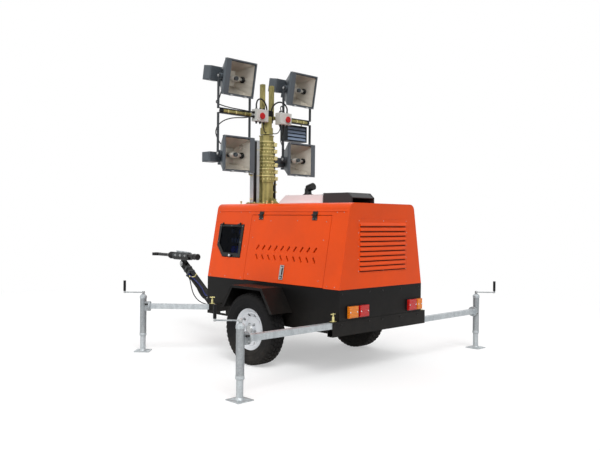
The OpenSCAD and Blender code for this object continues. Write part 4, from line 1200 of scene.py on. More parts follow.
@dataclass
class Outrigger:
    """Trim of one outrigger.

    Args:
        datum: The machine's datum.
        rig: Where it stands.
    """

    datum: Datum
    rig: Rig

    def dress(self) -> None:
        """Finish beam, jack and leg."""
        dress(Finishes.galvanised, f"beam_{self.rig.key}", f"leg_{self.rig.key}")
        dress(Finishes.jack, f"jack_{self.rig.key}")

    def build(self) -> None:
        """Build swivel bolts, index pin, welds, gear cap, crank joint and foot gussets."""
        rig = self.rig
        place = self.datum.at(rig.x, rig.y, rig.z) @ Matrix.Rotation(math.radians(rig.heading), 4, "Z")
        bolts = Shape(place)
        for y, z in ((32, 20), (-32, 20), (32, -20), (-32, -20)):
            bolts.bolt((-55.8, y * 0.95, z * 1.25), (1, 0, 0), 6.5, 7)
        bolts.piece(f"swivel_bolts_{rig.key}", Finishes.steel, f"jack_{rig.body}", bevel=0.4)
        pin = Shape(place)
        pin.lathe([(8, -55.8), (8, -49), (5.5, -47), (5, -38), (9, -36), (10, -27), (7, -24)], (0, 37, 22), (1, 0, 0), 16)
        pin.lathe([(8, -55.8), (8, -49), (5.5, -47), (5, -42), (7, -40), (7, -35)], (0, -37, -22), (1, 0, 0), 16)
        pin.piece(f"index_pins_{rig.key}", Finishes.gloss_black, f"jack_{rig.body}")
        weld = Shape(place)
        corners = [Vector((-73.5, y, z)) for y, z in ((25, 25), (-25, 25), (-25, -25), (25, -25))]
        for a, b in zip(corners, corners[1:] + corners[:1]):
            weld.rod(a, b, 3.4, 8)
        weld.piece(f"beam_weld_{rig.key}", Finishes.galvanised, f"beam_{rig.body}", Smoothing.ROUND)
        top = 556 - rig.z
        cap = Shape(place)
        cap.lathe([(34, top - 26), (35.5, top - 24), (35.5, top - 2), (33, top + 1), (20, top + 15), (15, top + 17)], (0, 0, 0),
                  steps=32)
        cap.lathe([(34, -120 + 1), (34.6, -118), (34.6, -96), (34, -94)], (0, 0, 156 - rig.z + 122), steps=32)
        cap.piece(f"jack_cap_{rig.key}", Finishes.galvanised, f"jack_{rig.body}")
        turn = place @ Matrix.Translation((0, 0, top)) @ Matrix.Rotation(math.radians(rig.crank), 4, "Z")
        crank = Shape(turn)
        crank.lathe([(14, 24), (15, 26), (15, 42), (12, 46), (5, 48)], (0, 0, 0), steps=20)
        crank.rod((0, -17, 34), (0, 17, 34), 3.5, 10, 0.8)
        crank.lathe([(9.5, -9), (9.5, 9)], (190, 0, 34), (1, 0, 0), 14)
        crank.piece(f"crank_boss_{rig.key}", Finishes.steel, f"jack_{rig.body}")
        foot = Shape(place)
        base = 8 - rig.z
        for i in range(4):
            a = math.pi / 4 + i * math.pi / 2
            c, s = math.cos(a), math.sin(a)
            side = Vector((-s, c, 0)) * 3
            inner, outer = Vector((27 * c, 27 * s, 0)), Vector((82 * c, 82 * s, 0))
            foot.loft([[inner + w * side + Vector((0, 0, base)), outer + w * side + Vector((0, 0, base)),
                        outer + w * side + Vector((0, 0, base + 3)), inner + w * side + Vector((0, 0, base + 5.5))]
                       for w in (-1, 1)])
        foot.piece(f"foot_gussets_{rig.key}", Finishes.galvanised, f"leg_{rig.body}", bevel=0.5)
        # Painted shade: shallow near-black cups stand for the shade inside the beam's holes.
        holes = Shape(place)
        for x in (-150, -190, -230):
            holes.lathe([(7.5, 0.02), (7.5, 0.15), (5.5, 0.15), (5.2, -2.4), (0.5, -2.4)], (x, 0, 25), (0, 0, 1), 18)
        holes.piece(f"beam_holes_{rig.key}", Finishes.inside, f"beam_{rig.body}")


@dataclass
class Drawbar:
    """Arm, coupling head, handbrake lever and the cables along them.

    Args:
        datum: The machine's datum.
        pivot: Lower pivot, ahead of the rear face and above the ground.
        slope: Slope of the arm, in degrees.
        arm: Length between the pivots.
    """

    datum: Datum
    pivot: tuple[float, float] = (2500.0, 350.0)
    slope: float = 36.0
    arm: float = 745.0

    def dress(self) -> None:
        """Finish the arm and the head."""
        dress(Finishes.black, "drawbar_arm")
        dress(Finishes.gloss_black, "coupling_head")

    def build(self) -> None:
        """Build clamps, lever, bellows, bolts and cables."""
        arm = self.datum.at(self.pivot[0], 0, self.pivot[1]) @ Matrix.Rotation(math.radians(-self.slope), 4, "Y")
        low = self.datum.at(self.pivot[0], 0, self.pivot[1])
        bolts = Shape(low)
        for s in (1, -1):
            bolts.bolt((0, 49 * s, 0), (0, s, 0), 22, 10)
        bolts.piece("lower_pivot_nuts", Finishes.steel, "trailer", bevel=0.8)
        nuts = Shape(arm)
        for s in (1, -1):
            nuts.bolt((self.arm, 37.2 * s, 0), (0, s, 0), 21, 12)
            for x in (60, 100):
                nuts.bolt((x, 37.0 * s, 12), (0, s, 0), 8, 7)
        nuts.piece("arm_bolts", Finishes.steel, "drawbar_arm", bevel=0.6)
        clamp = Shape(arm)
        for x in (self.arm - 190, self.arm - 120):
            clamp.block((x, -41, -38), (x + 26, 41, 38))
        clamp.piece("arm_clamps", Finishes.cast, "drawbar_arm", bevel=2.0)
        lever = Shape(arm)
        lever.tube([(self.arm - 250, 44, 10), (self.arm - 300, 52, 40), (self.arm - 330, 54, 78), (self.arm - 332, 54, 116)], 6.5, 10)
        lever.lathe([(10, 0), (12, 4), (12, 16), (9, 20)], (self.arm - 250, 40, 8), (0, 1, 0), 16)
        lever.piece("clamp_lever", Finishes.bright_zinc, "drawbar_arm", Smoothing.ROUND)
        self.build_head()
        self.build_cables(arm)

    def build_head(self) -> None:
        """Trim of the coupling head."""
        a = math.radians(self.slope)
        head = self.datum.at(self.pivot[0] + self.arm * math.cos(a), 0, self.pivot[1] + self.arm * math.sin(a))
        z = 91
        cast = Shape(head)
        cast.prism([(-120, z - 46), (165, z - 46), (190, z - 20), (190, z + 26), (150, z + 44), (-90, z + 44), (-120, z + 24)], -44,
                   44, "y")
        cast.piece("head_casting", Finishes.cast, "coupling_head", bevel=6.0)
        bellows = Shape(head)
        folds = [(36 + (7 if i % 2 else 0), 190 + i * 8) for i in range(12)]
        bellows.lathe([(34.5, 186), *folds, (36, 288)], (0, 0, z), (1, 0, 0), 28)
        bellows.piece("bellows", Finishes.cable, "coupling_head", Smoothing.ROUND)
        lever = Shape(head)
        lever.prism([(-60, z + 38), (150, z + 46), (158, z + 56), (150, z + 62), (-70, z + 54), (-140, z + 50), (-146, z + 42)], -8,
                    8, "y")
        lever.block((20, -20, z + 40), (90, 20, z + 52))
        lever.piece("brake_lever", Finishes.galvanised, "coupling_head", bevel=2.0)
        end = Shape(head)
        end.lathe([(36, 0), (38, 3), (38, 14), (36, 17)], (-290, 0, z), (1, 0, 0), 28)
        end.lathe([(36, 60), (37, 62), (37, 76), (36, 78)], (-290, 0, z), (1, 0, 0), 28)
        end.piece("tube_rings", Finishes.gloss_black, "coupling_head")
        bolts = Shape(head)
        for x in (-80, 20, 120):
            for s in (1, -1):
                bolts.bolt((x, 44 * s, z + 8), (0, s, 0), 11, 9)
        bolts.piece("head_bolts", Finishes.steel, "coupling_head", bevel=0.6)

    def build_cables(self, arm: Matrix) -> None:
        """Brake and lighting cables, from a clamp on the tow tube across the lower pivot to a clamp up the arm.

        Args:
            arm: Local frame of the arm.
        """
        low = self.datum.at(self.pivot[0], 0, self.pivot[1])
        Shape(low).block((-226, 49, 24), (-198, 80, 104)).piece("cable_clamp_low", Finishes.cast, "trailer", bevel=2.0)
        top = self.arm - 215
        Shape(arm).block((top, 36.5, -30), (top + 26, 64, 30)).piece("cable_clamp_top", Finishes.cast, "drawbar_arm", bevel=2.0)
        runs = (("brake_cable", Finishes.blue_cable, 0.0065, (-200, 64, 86), [(-120, 66, 104), (-40, 74, 112)],
                 [(110, 66, 46), (210, 66, 62), (310, 62, 56), (420, 54, 34), (480, 52, 18), (top + 3, 52, 16)]),
                ("lighting_cable", Finishes.cable, 0.0075, (-200, 64, 64), [(-120, 68, 70), (-40, 76, 64)],
                 [(110, 72, 2), (220, 70, -6), (320, 64, 10), (420, 56, 6), (480, 52, -2), (top + 3, 52, -2)]),
                ("slack_cable", Finishes.cable, 0.006, (-200, 64, 42), [(-120, 70, 34), (-40, 82, 2)],
                 [(110, 76, -64), (220, 74, -96), (320, 68, -92), (420, 58, -52), (480, 53, -24), (top + 3, 52, -19)]))
        for name, finish, radius, exit_at, near, far in runs:
            path = [low @ Vector(q) for q in (exit_at, *near)] + [arm @ Vector(q) for q in far]
            cross = cable(name, finish, radius, path)
            self.datum.spot(self.pivot[0] - 60, 0, self.pivot[1])
            self.datum.spot(self.pivot[0] + 50, 0, self.pivot[1] + 36)
            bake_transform(cross)


@dataclass
class Mast:
    """Telescopic mast: collar bolts, rope guides, cable sheath and crossbar trim.

    Args:
        datum: The machine's datum.
        x: Distance of its axis ahead of the rear face.
        collar: Height of the lowest collar.
        pitch: Spacing of the collars.
        bar: Height of the crossbar.
    """

    datum: Datum
    x: float = 1600.0
    collar: float = 1800.0
    pitch: float = 72.0
    bar: float = 2420.0

    def body_of(self, section: int) -> str:
        """Body of a mast section, counted from the outer one."""
        return "mast" if section == 1 else f"stage_{section}"

    def dress(self) -> None:
        """Finish the sections, the crossbar and the boxes."""
        dress(Finishes.olive, "mast_base", "stage_2", "stage_3", "stage_4", "stage_5", "stage_6", "stage_7", "lamp_bar")
        dress(Finishes.bright_zinc, "beam_latches")
        dress(Finishes.box_white, "junction_boxes")

    def build(self) -> None:
        """Build the trim of each section and of the head."""
        for section in range(1, 7):
            self.build_collar(section)
        self.build_sheath()
        self.build_head()

    def build_collar(self, section: int) -> None:
        """Bright plate, bolts and rope guide of one collar.

        Args:
            section: Which section, from 1 outside.
        """
        top = self.collar + (section - 1) * self.pitch
        across = 172 - (section - 1) * 5 + 14
        place = self.datum.at(self.x, 0, 0)
        plate = Shape(place)
        reach = across / 2 / math.cos(math.radians(22.5)) + 1.5
        ring = [(reach * math.cos(math.radians(22.5 + 45 * i)), reach * math.sin(math.radians(22.5 + 45 * i))) for i in range(8)]
        inner = [(x * 0.955, y * 0.955) for x, y in ring]
        plate.loft([[(x, y, z) for x, y in line] for line, z in ((inner, top - 8.6), (ring, top - 8.6), (ring, top - 0.2), (inner, top - 0.2))],
                   cap=False)
        plate.piece(f"collar_rim_{section}", Finishes.bright_zinc, self.body_of(section), bevel=0.5, closed=False)
        bolts = Shape(place)
        flat = across / 2 - 7
        for i in range(8):
            a = math.radians(45 * i)
            out = Vector((math.cos(a), math.sin(a), 0))
            along = Vector((-math.sin(a), math.cos(a), 0))
            for shift in (-18, 18):
                bolts.bolt(out * flat + along * shift + Vector((0, 0, top - 40)), out, 5.5, 5)
        bolts.piece(f"collar_bolts_{section}", Finishes.bright_zinc, self.body_of(section), bevel=0.3)
        guide = Shape(place @ Matrix.Rotation(math.radians(-118), 4, "Z"))
        seat = across / 2 - 4
        guide.block((seat, -20, top - 50), (seat + 34, -15, top - 12)).block((seat, 15, top - 50), (seat + 34, 20, top - 12))
        guide.block((seat, -20, top - 16), (seat + 12, 20, top - 12)).bolt((seat + 34, -17.5, top - 22), (1, 0, 0), 4, 4)
        guide.piece(f"rope_guide_{section}", Finishes.bright_zinc, self.body_of(section), bevel=0.4)
        roller = Shape(place @ Matrix.Rotation(math.radians(-118), 4, "Z"))
        roller.lathe([(15, -12), (15, -10), (10, -7), (10, 7), (15, 10), (15, 12)], (seat + 22, 0, top - 32), (0, 1, 0), 20)
        roller.rod((seat + 22, -24, top - 32), (seat + 22, 24, top - 32), 5, 10)
        roller.piece(f"rope_roller_{section}", Finishes.steel, self.body_of(section), bevel=0.4)
        sleeve = Shape(place @ Matrix.Rotation(math.radians(-100), 4, "Z"))
        for y, radius in ((-9, 8), (9, 7)):
            sleeve.rod((seat + 14, y, top - 69), (seat + 14, y, top - 1), radius, 12, 1.0)
        sleeve.block((seat - 2, -19, top - 44), (seat + 24, 19, top - 36))
        sleeve.piece(f"cable_sleeve_{section}", Finishes.cable, self.body_of(section), bevel=0.6)

    def build_sheath(self) -> None:
        """Ribbed cable sheath, clips, gussets and cable trunk on the outer section, and the guide post's trim."""
        place = self.datum.at(self.x, 0, 0) @ Matrix.Rotation(math.radians(-112), 4, "Z")
        sheath = Shape(place)
        ribs = [(11.5 + (2.2 if i % 2 else 0), 1512 + i * 9) for i in range(28)]
        sheath.lathe([(10, 1510), *ribs, (10, 1768)], (100, 6, 0), steps=16)
        sheath.piece("cable_sheath", Finishes.cable, "mast", Smoothing.ROUND)
        clips = Shape(place)
        for z in (1540, 1620, 1700):
            clips.block((74, -12, z), (114, -8, z + 16)).block((112, -12, z), (116, 22, z + 16)).block((74, 20, z), (116, 24, z + 16))
            clips.bolt((116, 6, z + 8), (1, 0, 0), 5, 4)
        clips.piece("sheath_clips", Finishes.bright_zinc, "mast", bevel=0.6)
        foot = Shape(self.datum.at(self.x, 0, 1508))
        for i in range(8):
            a = math.radians(45 * i)
            c, s = math.cos(a), math.sin(a)
            side = Vector((-s, c, 0)) * 3
            inner, outer = Vector((76 * c, 76 * s, 0)), Vector((132 * c, 132 * s, 0))
            if i == 2:
                continue
            foot.loft([[inner + w * side, outer + w * side, outer + w * side + Vector((0, 0, 6)), inner + w * side + Vector((0, 0, 62))]
                       for w in (-1, 1)])
        foot.piece("mast_gussets", Finishes.olive, "mast", bevel=0.6)
        post = Shape(self.datum.at(self.x, 0, 0))
        for z in (1545, 1790, 2060):
            post.block((-14, 84, z), (44, 192, z + 5))
            post.bolt((15, 192, z + 2), (0, 1, 0), 6, 6)
        post.piece("post_straps", Finishes.bright_zinc, "mast", bevel=0.6)
        shade_post = Shape(self.datum.at(self.x, 0, 0))
        shade_post.prism([(-12, 102.5), (42, 102.5), (42, 189.5), (-12, 189.5)], 1509, 2162, "z")
        shade_post.piece("post_cover", Finishes.galvanised, "mast", bevel=3.0)
        conduits = Shape(self.datum.at(self.x, 0, 0))
        for x, y, radius in ((-22, 178, 9), (-20, 158, 7)):
            conduits.rod((x, y, 1511), (x, y, 2150), radius, 14, 1.0)
        conduits.piece("post_conduits", Finishes.cable, "mast", Smoothing.ROUND)
        trunk = Shape(self.datum.at(self.x, 0, 0) @ Matrix.Rotation(math.radians(-104), 4, "Z"))
        for y, radius in ((-24, 11), (0, 13), (24, 10)):
            trunk.rod((94 - radius * 0.2, y, 1509), (94 - radius * 0.2, y, 1716), radius, 14, 1.0)
        trunk.piece("cable_trunk", Finishes.cable, "mast", Smoothing.ROUND)

    def build_head(self) -> None:
        """Centre cover, bar caps and clamps, box lids, red caps, screws and glands, the ballast box and the head's
        cables.
        """
        place = self.datum.at(self.x, 0, self.bar)
        cover = Shape(place)
        cover.prism([(-46, -64), (54, -64), (54, 50), (40, 64), (-46, 64)], -49, 49, "y")
        cover.piece("head_cover", Finishes.black, "stage_7", bevel=3.0)
        caps = Shape(place)
        for s in (1, -1):
            caps.lathe([(20.6, 0), (22.5, 1), (22.5, 26), (19, 28)], (0, 589 * s, 0), (0, s, 0), 24)
        caps.piece("bar_caps", Finishes.cable, "stage_7")
        clamps = Shape(place)
        for s in (1, -1):
            for y in (230, 300, 420, 520):
                clamps.lathe([(20.2, 0), (23.5, 0.5), (23.5, 13.5), (20.2, 14)], (0, y * s, 0), (0, s, 0), 24)
        clamps.piece("bar_clamps", Finishes.bright_zinc, "stage_7")
        for side in Side:
            s, label = side.value, side.name.lower()
            box = self.datum.at(self.x - 82, 165 * s, self.bar - 12)
            lid = Shape(box)
            lid.prism([(-78, -60), (78, -60), (78, 60), (-78, 60)], -44.5, -39.5, "x")
            lid.piece(f"box_lid_{label}", Finishes.box_white, "stage_7", bevel=2.0)
            cap = Shape(box)
            cap.lathe([(24, 52), (33, 54.5), (34, 57), (34, 62), (30, 66), (12, 67), (3, 67)], (0, 15 * s, -8), (-1, 0, 0), 32)
            cap.piece(f"red_cap_{label}", Finishes.red, "stage_7")
            screws = Shape(box)
            for y in (-68, 68):
                for z in (-50, 50):
                    screws.dome((-44.2, y, z), (-1, 0, 0), 5, 2.5)
            screws.piece(f"box_screws_{label}", Finishes.steel, "stage_7", Smoothing.ROUND)
            glands = Shape(box)
            for y in (-50, 0, 50):
                glands.lathe([(13, -62), (13, -72), (9, -74), (9, -84), (6, -86)], (0, y, 0), (0, 0, 1), 12)
                glands.lathe([(13, 62), (13, 72), (9, 74), (9, 82), (6, 84)], (0, y, 0), (0, 0, 1), 12)
            glands.piece(f"box_glands_{label}", Finishes.cable, "stage_7")
        self.build_ballast_box(place)
        for side in Side:
            s, label = side.value, side.name.lower()
            over = [(-82, 215 * s, 70), (-82, 215 * s, 104), (-74, 190 * s, 148), (-62, 138 * s, 168), (-50, 84 * s, 150),
                    (-40, 44 * s, 106), (-36, 30 * s, 60)]
            under = [(-82, 115 * s, -94), (-82, 115 * s, -126), (-70, 92 * s, -166), (-46, 52 * s, -172), (-28, 26 * s, -136),
                     (-24, 22 * s, -98), (-24, 22 * s, -62)]
            for kind, path, radius in (("over", over, 0.008), ("under", under, 0.005)):
                cable(f"head_cable_{kind}_{label}", Finishes.cable, radius, [place @ Vector(q) for q in path], "stage_7")


    def build_ballast_box(self, place: Matrix) -> None:
        """Slatted box of the lamps' gear, hung from the crossbar on the right.

        Args:
            place: Local frame on the crossbar.
        """
        x0, x1, y0, y1, z0, z1 = 52, 165, -650, -345, -212, -34
        box = Shape(place)
        box.block((x0 + 16, y0, z0), (x1, y1, z1))
        for low, high in (((x0, y0, z0), (x0 + 17, y0 + 12, z1)), ((x0, y1 - 12, z0), (x0 + 17, y1, z1)),
                          ((x0, y0 + 12, z1 - 10), (x0 + 17, y1 - 12, z1)), ((x0, y0 + 12, z0), (x0 + 17, y1 - 12, z0 + 10))):
            box.block(low, high)
        box.piece("ballast_box", Finishes.panel, "stage_7", bevel=2.0)
        slats = Shape(place)
        for i in range(4):
            z = z0 + 14 + i * 39
            slats.prism([(x0 + 1, z), (x0 + 4, z), (x0 + 15.5, z + 29), (x0 + 12.5, z + 29)], y0 + 12.5, y1 - 12.5, "y")
        slats.piece("ballast_slats", Finishes.slat, "stage_7", bevel=0.8)
        hangers = Shape(place)
        for y in (y0 + 30, y1 - 40):
            hangers.block((17, y, -9), (x0 + 60, y + 12, 9)).block((x0 + 52, y, z1 - 1), (x0 + 60, y + 12, 9))
        hangers.piece("ballast_hangers", Finishes.olive, "stage_7", bevel=0.8)


@dataclass
class Floodlight:
    """One floodlight: reflector, bulb, bezel, clips, gear box fins, yoke bolts and lead.

    Args:
        datum: The machine's datum.
        side: Left or right of the mast.
        row: Upper or lower.
        x: Distance of the mast ahead of the rear face.
        bar: Height of the crossbar.
        out: Distance of the lamp's middle from the mast.
        wide: Width of the lamp.
        tall: Height of the lamp.
    """

    datum: Datum
    side: Side
    row: Row
    x: float = 1600.0
    bar: float = 2420.0
    out: float = 440.0
    wide: float = 386.0
    tall: float = 355.0
    front: float = -95.0

    @property
    def key(self) -> str:
        """Short name in the nodes."""
        return self.row.name[0].lower() + self.side.name[0].lower()

    @property
    def body(self) -> str:
        """Name of the lamp's body."""
        return f"lamp_{self.row.name.lower()}_{self.side.name.lower()}"

    @property
    def pivot(self) -> float:
        """Height of the lamp's pivot."""
        return self.bar + (345 if self.row is Row.UPPER else -430)

    @property
    def tilt(self) -> float:
        """How far the lamp looks down at rest, in degrees."""
        return 10.0 if self.row is Row.UPPER else 0.0

    def place(self) -> Matrix:
        """The lamp's local frame: it shines along -X."""
        turn = Matrix.Rotation(math.radians(-self.tilt), 4, "Y")
        return self.datum.at(self.x, self.out * self.side.value, self.pivot) @ turn

    def dress(self) -> None:
        """Finish housing and pane."""
        dress(Finishes.housing, f"lamp_{self.key}")
        dress(Finishes.pane, f"glass_{self.key}")

    def build(self) -> None:
        """Build everything inside and on the housing."""
        place = self.place()
        self.build_reflector(place)
        self.build_bulb(place)
        self.build_bezel(place)
        self.build_back(place)
        self.build_lead()

    def build_reflector(self, place: Matrix) -> None:
        """Bowed reflector with pressed facets on its flanks.

        Args:
            place: The lamp's local frame.
        """
        bowl = Shape(place)
        rings = []
        steps, across = 9, 10
        for k in range(steps + 1):
            t = k / steps
            x = self.front + 8 + 178 * t
            bow = math.sqrt(1 - t * 0.86)
            half_y = 70 + (self.wide / 2 - 20 - 70) * bow * (1 - t * 0.28)
            half_z = 74 + (self.tall / 2 - 20 - 74) * bow * (1 - t * 0.28)
            limit_y = 176 - (176 - 76) * t
            limit_z = 160.5 - (160.5 - 81) * t
            y, z = min(half_y, limit_y - 2), min(half_z, limit_z - 2)
            ring = []
            for a, b in (((-y, -z), (y, -z)), ((y, -z), (y, z)), ((y, z), (-y, z)), ((-y, z), (-y, -z))):
                for i in range(across):
                    s = i / across
                    dent = 1.6 * (1 if i % 2 else 0) * (0.3 + t)
                    p, q = a[0] + (b[0] - a[0]) * s, a[1] + (b[1] - a[1]) * s
                    ring.append((x, p * (1 - dent / 110), q * (1 - dent / 110)))
            rings.append(ring)
        bowl.loft(rings, cap=False)
        last = [bowl.mesh.verts.new(bowl.place @ Vector(p)) for p in rings[-1]]
        bowl.mesh.faces.new(last)
        piece = bowl.piece(f"reflector_{self.key}", Finishes.reflector, self.body, Smoothing.FACETED, closed=False)
        thick = piece.modifiers.new("sheet", "SOLIDIFY")
        thick.thickness = 0.0008

    def build_bulb(self, place: Matrix) -> None:
        """Bulb across the reflector with its dark holder on the right-hand flank.

        Args:
            place: The lamp's local frame.
        """
        depth = 10.0
        holder = Shape(place)
        holder.lathe([(28, -122), (31, -118), (31, -100), (26, -95), (18, -93)], (depth, 0, 0), (0, 1, 0), 24)
        holder.piece(f"bulb_holder_{self.key}", Finishes.gloss_black, self.body)
        bulb = Shape(place)
        bulb.lathe([(15, -94), (16, -84), (19, -70), (30, -40), (33, -12), (30, 18), (20, 42), (8, 54), (2, 56)], (depth, 0, 0),
                   (0, 1, 0), 24)
        bulb.piece(f"bulb_{self.key}", Finishes.bulb, self.body, Smoothing.ROUND)

    def build_bezel(self, place: Matrix) -> None:
        """Raised front frame, its clips and corner screws.

        Args:
            place: The lamp's local frame.
        """
        y, z, x = self.wide / 2, self.tall / 2, self.front
        frame_bars = Shape(place)
        strip_left, strip_right = (STRIP, 14) if self.row is Row.UPPER else (14, STRIP)
        for low, high in (((x - 4, -y - 2, z - 14), (x + 8, y + 2, z + 2)), ((x - 4, -y - 2, -z - 2), (x + 8, y + 2, -z + 14)),
                          ((x - 4, -y - 2, -z + 14), (x - 0.4, -y + strip_right, z - 14)),
                          ((x - 4, y - strip_left, -z + 14), (x - 0.4, y + 2, z - 14))):
            frame_bars.block(low, high)
        frame_bars.piece(f"bezel_{self.key}", Finishes.housing, self.body, bevel=2.0)
        clips = Shape(place)
        for s in (1, -1):
            clips.block((x - 6, s * 90 - 14, -z - 5), (x + 24, s * 90 + 14, -z - 1.5))
            clips.block((x - 7, s * 90 - 14, -z - 5), (x - 3.5, s * 90 + 14, -z + 10))
        clips.piece(f"bezel_clips_{self.key}", Finishes.steel, self.body, bevel=0.6)
        screws = Shape(place)
        for sy in (1, -1):
            for sz in (1, -1):
                screws.dome((x - 3.8, sy * (y - 7), sz * (z - 7)), (-1, 0, 0), 4, 2.2)
        screws.piece(f"bezel_screws_{self.key}", Finishes.steel, self.body, Smoothing.ROUND)

    def build_back(self, place: Matrix) -> None:
        """Fins and cover of the gear box, the gear box itself and the yoke bolts.

        Args:
            place: The lamp's local frame.
        """
        back = self.front + 200
        fins = Shape(place)
        for i in range(6):
            z = -80 + i * 22
            fins.block((back + 4, -63.5, z), (back + 78, 63.5, z + 4))
        fins.block((back + 82, -56, -88), (back + 87, 56, 48))
        fins.piece(f"gear_fins_{self.key}", Finishes.housing, self.body, bevel=0.8)
        low, high = (-55, 90) if self.row is Row.UPPER else (-80, 20)
        gear = Shape(place)
        gear.block((62, 122, low), (190, 256, high)).block((back + 2, 54, low + 14), (178, 124, high - 14))
        for z in range(low + 14, high - 8, 18):
            gear.block((60.5, 119, z), (191.5, 257.5, z + 3))
        gear.block((76, 254, low + 10), (176, 260, high - 10))
        gear.piece(f"gear_box_{self.key}", Finishes.housing, self.body, bevel=2.0)
        bolts = Shape(place)
        for s in (1, -1):
            bolts.bolt((0, s * (self.wide / 2 + 14.4), 0), (0, s, 0), 11, 8)
        bolts.piece(f"yoke_bolts_{self.key}", Finishes.steel, self.body, bevel=0.5)

    def build_lead(self) -> None:
        """Lead from the gear box to the junction box, laid for the lamp's rest tilt."""
        local, base = self.place(), self.datum.at(self.x, 0, self.bar)
        routes = {
            "ul": ((145, 40, -95), (0, 0, -1), [(150, 520, 150), (136, 566, 112), (100, 570, 84), (62, 520, 62), (32, 450, 48),
                                                (0, 370, 38), (-52, 300, 24), (-82, 246, 14)], (0, 1, 0)),
            "ur": ((145, 40, -95), (0, 0, -1), [(150, -380, 152), (124, -336, 116), (76, -276, 104), (20, -214, 122),
                                                (-34, -178, 134), (-72, -166, 104), (-82, -165, 52)], (0, 0, 1)),
            "ll": ((145, 40, 55), (0, 0, 1), [(142, 520, -290), (126, 574, -214), (92, 580, -146), (56, 540, -94), (34, 470, -62),
                                              (14, 400, -48), (-24, 330, -44), (-64, 284, -34), (-82, 246, -30)], (0, 1, 0)),
            "lr": ((145, 40, 55), (0, 0, 1), [(134, -368, -292), (100, -314, -258), (50, -252, -236), (0, -204, -214),
                                              (-48, -174, -186), (-80, -165, -142), (-82, -165, -98)], (0, 0, -1)),
        }
        seat, axis, middle, enter = routes[self.key]
        out = Vector(seat) + Vector(axis) * 44
        path = [local @ Vector(seat), local @ out, *[base @ Vector(q) for q in middle]]
        lead = cable(f"lead_{self.key}", Finishes.cable, 0.0055, path)
        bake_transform(lead)
        relief(f"lead_relief_{self.key}", local, seat, axis, self.body)
        relief(f"lead_entry_{self.key}", base, middle[-1], enter, "stage_7")


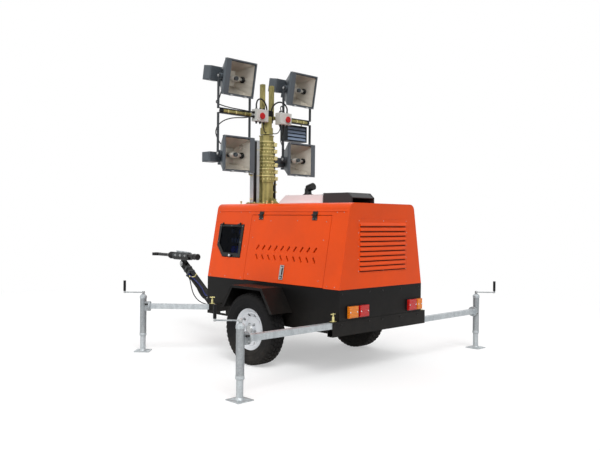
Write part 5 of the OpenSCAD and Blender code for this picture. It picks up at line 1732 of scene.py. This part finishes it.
@dataclass
class Studio:
    """Camera, pale floor, soft lights and white surroundings.

    Args:
        datum: The machine's datum.
        eye: Camera place, ahead of the rear face, in metres.
        yaw: Heading of the view, in radians.
        pitch: Its rise.
        roll: Its roll.
        lens: Focal length for a 36 mm sensor.
    """

    datum: Datum
    eye: tuple[float, float, float] = (-3.9055, 4.8159, 1.3387)
    yaw: float = -0.7686
    pitch: float = -0.0079
    roll: float = 0.0113
    lens: float = 41.292

    def build(self) -> None:
        """Build everything that isn't part of the machine."""
        self.build_camera()
        self.build_world()
        self.build_floor()
        for name, towards, power, spread in (("key", (1.0, -0.55, -1.35), 1.4, 28.0), ("fill", (0.35, -1.0, -0.55), 0.95, 50.0),
                                             ("back", (-0.8, 0.6, -1.0), 0.36, 60.0)):
            self.build_light(name, Vector(towards), power, spread)

    def build_camera(self) -> None:
        """Set the camera at the photo's viewpoint."""
        ahead = Vector((math.cos(self.yaw) * math.cos(self.pitch), math.sin(self.yaw) * math.cos(self.pitch), math.sin(self.pitch)))
        right = Vector((math.sin(self.yaw), -math.cos(self.yaw), 0))
        up = right.cross(ahead)
        across = right * math.cos(self.roll) + up * math.sin(self.roll)
        upward = up * math.cos(self.roll) - right * math.sin(self.roll)
        data = bpy.data.cameras.new("camera")
        data.sensor_width, data.lens = 36.0, self.lens
        camera = bpy.data.objects.new("camera", data)
        place = Matrix((across, upward, -ahead)).transposed().to_4x4()
        place.translation = Vector(self.eye) + Vector((self.datum.rear, 0, 0))
        camera.matrix_world = place
        bpy.context.scene.collection.objects.link(camera)
        bpy.context.scene.camera = camera

    @staticmethod
    def build_world() -> None:
        """White surroundings for the camera, gloss and glass, and a softer light on the machine."""
        world = bpy.data.worlds.new("studio")
        bpy.context.scene.world = world
        world.use_nodes = True
        world.node_tree.nodes.clear()
        tree = Tree(world.node_tree)
        path = tree.add("LightPath")
        seen = tree.math("MAXIMUM", path.outputs["Is Camera Ray"], path.outputs["Is Transmission Ray"])
        seen = tree.math("MAXIMUM", seen, path.outputs["Is Glossy Ray"])
        soft = tree.add("Background", {"Color": (1, 1, 1, 1), "Strength": 0.52}).outputs[0]
        white = tree.add("Background", {"Color": (1, 1, 1, 1), "Strength": 1.0}).outputs[0]
        tree.add("OutputWorld", {"Surface": tree.add("MixShader", {0: seen, 1: soft, 2: white}).outputs[0]})
        view = bpy.context.scene.view_settings
        view.view_transform = "Standard"

    @staticmethod
    def build_floor() -> None:
        """A wide pale floor that keeps the machine's shadow."""
        floor = bmesh.new()
        ring = [floor.verts.new((60 * math.cos(a), 60 * math.sin(a), -0.0005)) for a in (2 * math.pi * i / 64 for i in range(64))]
        floor.faces.new(ring)
        data = bpy.data.meshes.new("floor")
        floor.to_mesh(data)
        floor.free()
        piece = bpy.data.objects.new("floor", data)
        bpy.context.scene.collection.objects.link(piece)
        material = bpy.data.materials.new("floor")
        material.use_nodes = True
        material.node_tree.nodes.clear()
        tree = Tree(material.node_tree)
        place = tree.add("TexCoord").outputs["Object"]
        cloud = tree.add("TexNoise", {"Vector": place, "Scale": 0.7, "Detail": 3.0}).outputs[0]
        tone = tree.mix(cloud, (0.60, 0.60, 0.60, 1), (0.62, 0.62, 0.62, 1))
        matt = tree.add("BsdfDiffuse", {"Color": tone}).outputs[0]
        path = tree.add("LightPath")
        seen = tree.math("MAXIMUM", path.outputs["Is Camera Ray"], path.outputs["Is Transmission Ray"])
        seen = tree.math("MAXIMUM", seen, path.outputs["Is Glossy Ray"])
        pale = tree.add("Emission", {"Color": (1, 1, 1, 1), "Strength": tree.math("MULTIPLY", seen, 0.42)}).outputs[0]
        white = tree.add("Emission", {"Color": (1, 1, 1, 1), "Strength": seen}).outputs[0]
        near = tree.add("AddShader", {0: matt, 1: pale}).outputs[0]
        reach = tree.add("VectorMath", {0: place}, operation="LENGTH").outputs["Value"]
        far = tree.add("MapRange", {0: reach, 1: 2.6, 2: 6.5, 3: 0.0, 4: 1.0}, interpolation_type="SMOOTHSTEP").outputs[0]
        surface = tree.add("MixShader", {0: far, 1: near, 2: white}).outputs[0]
        tree.add("OutputMaterial", {"Surface": surface})
        data.materials.append(material)

    @staticmethod
    def build_light(name: str, towards: Vector, power: float, spread: float) -> None:
        """One broad, even light from far away.

        Args:
            name: Its name.
            towards: Direction in which it shines.
            power: Its strength.
            spread: Its angle across, in degrees, which softens the shadow.
        """
        data = bpy.data.lights.new(name, "SUN")
        data.energy, data.angle = power, math.radians(spread)
        light = bpy.data.objects.new(name, data)
        light.rotation_mode = "QUATERNION"
        light.rotation_quaternion = towards.to_track_quat("-Z", "Y")
        light.location = -towards.normalized() * 8
        bpy.context.scene.collection.objects.link(light)


def main() -> None:
    """Dress the nodes and build every piece, in order."""
    logging.basicConfig(level=logging.INFO, format="%(name)s: %(message)s")
    datum = Datum(rear=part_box("canopy")[0].x)
    Studio(datum).build()
    dress(Finishes.red_lens, "tail_lamps_red")
    dress(Finishes.amber_lens, "tail_lamps_amber")
    dress(Finishes.bracket, "lamp_yokes")
    assemblies: list[object] = [Body(datum), ControlStation(datum), *(Wheel(datum, side) for side in Side),
                                *(Outrigger(datum, rig) for rig in RIGS), Drawbar(datum), Mast(datum),
                                *(Floodlight(datum, side, row) for row in Row for side in Side)]
    for assembly in assemblies:
        assembly.dress()
        assembly.build()
        log.info("%s done", type(assembly).__name__)


if __name__ == "__main__":
    main()
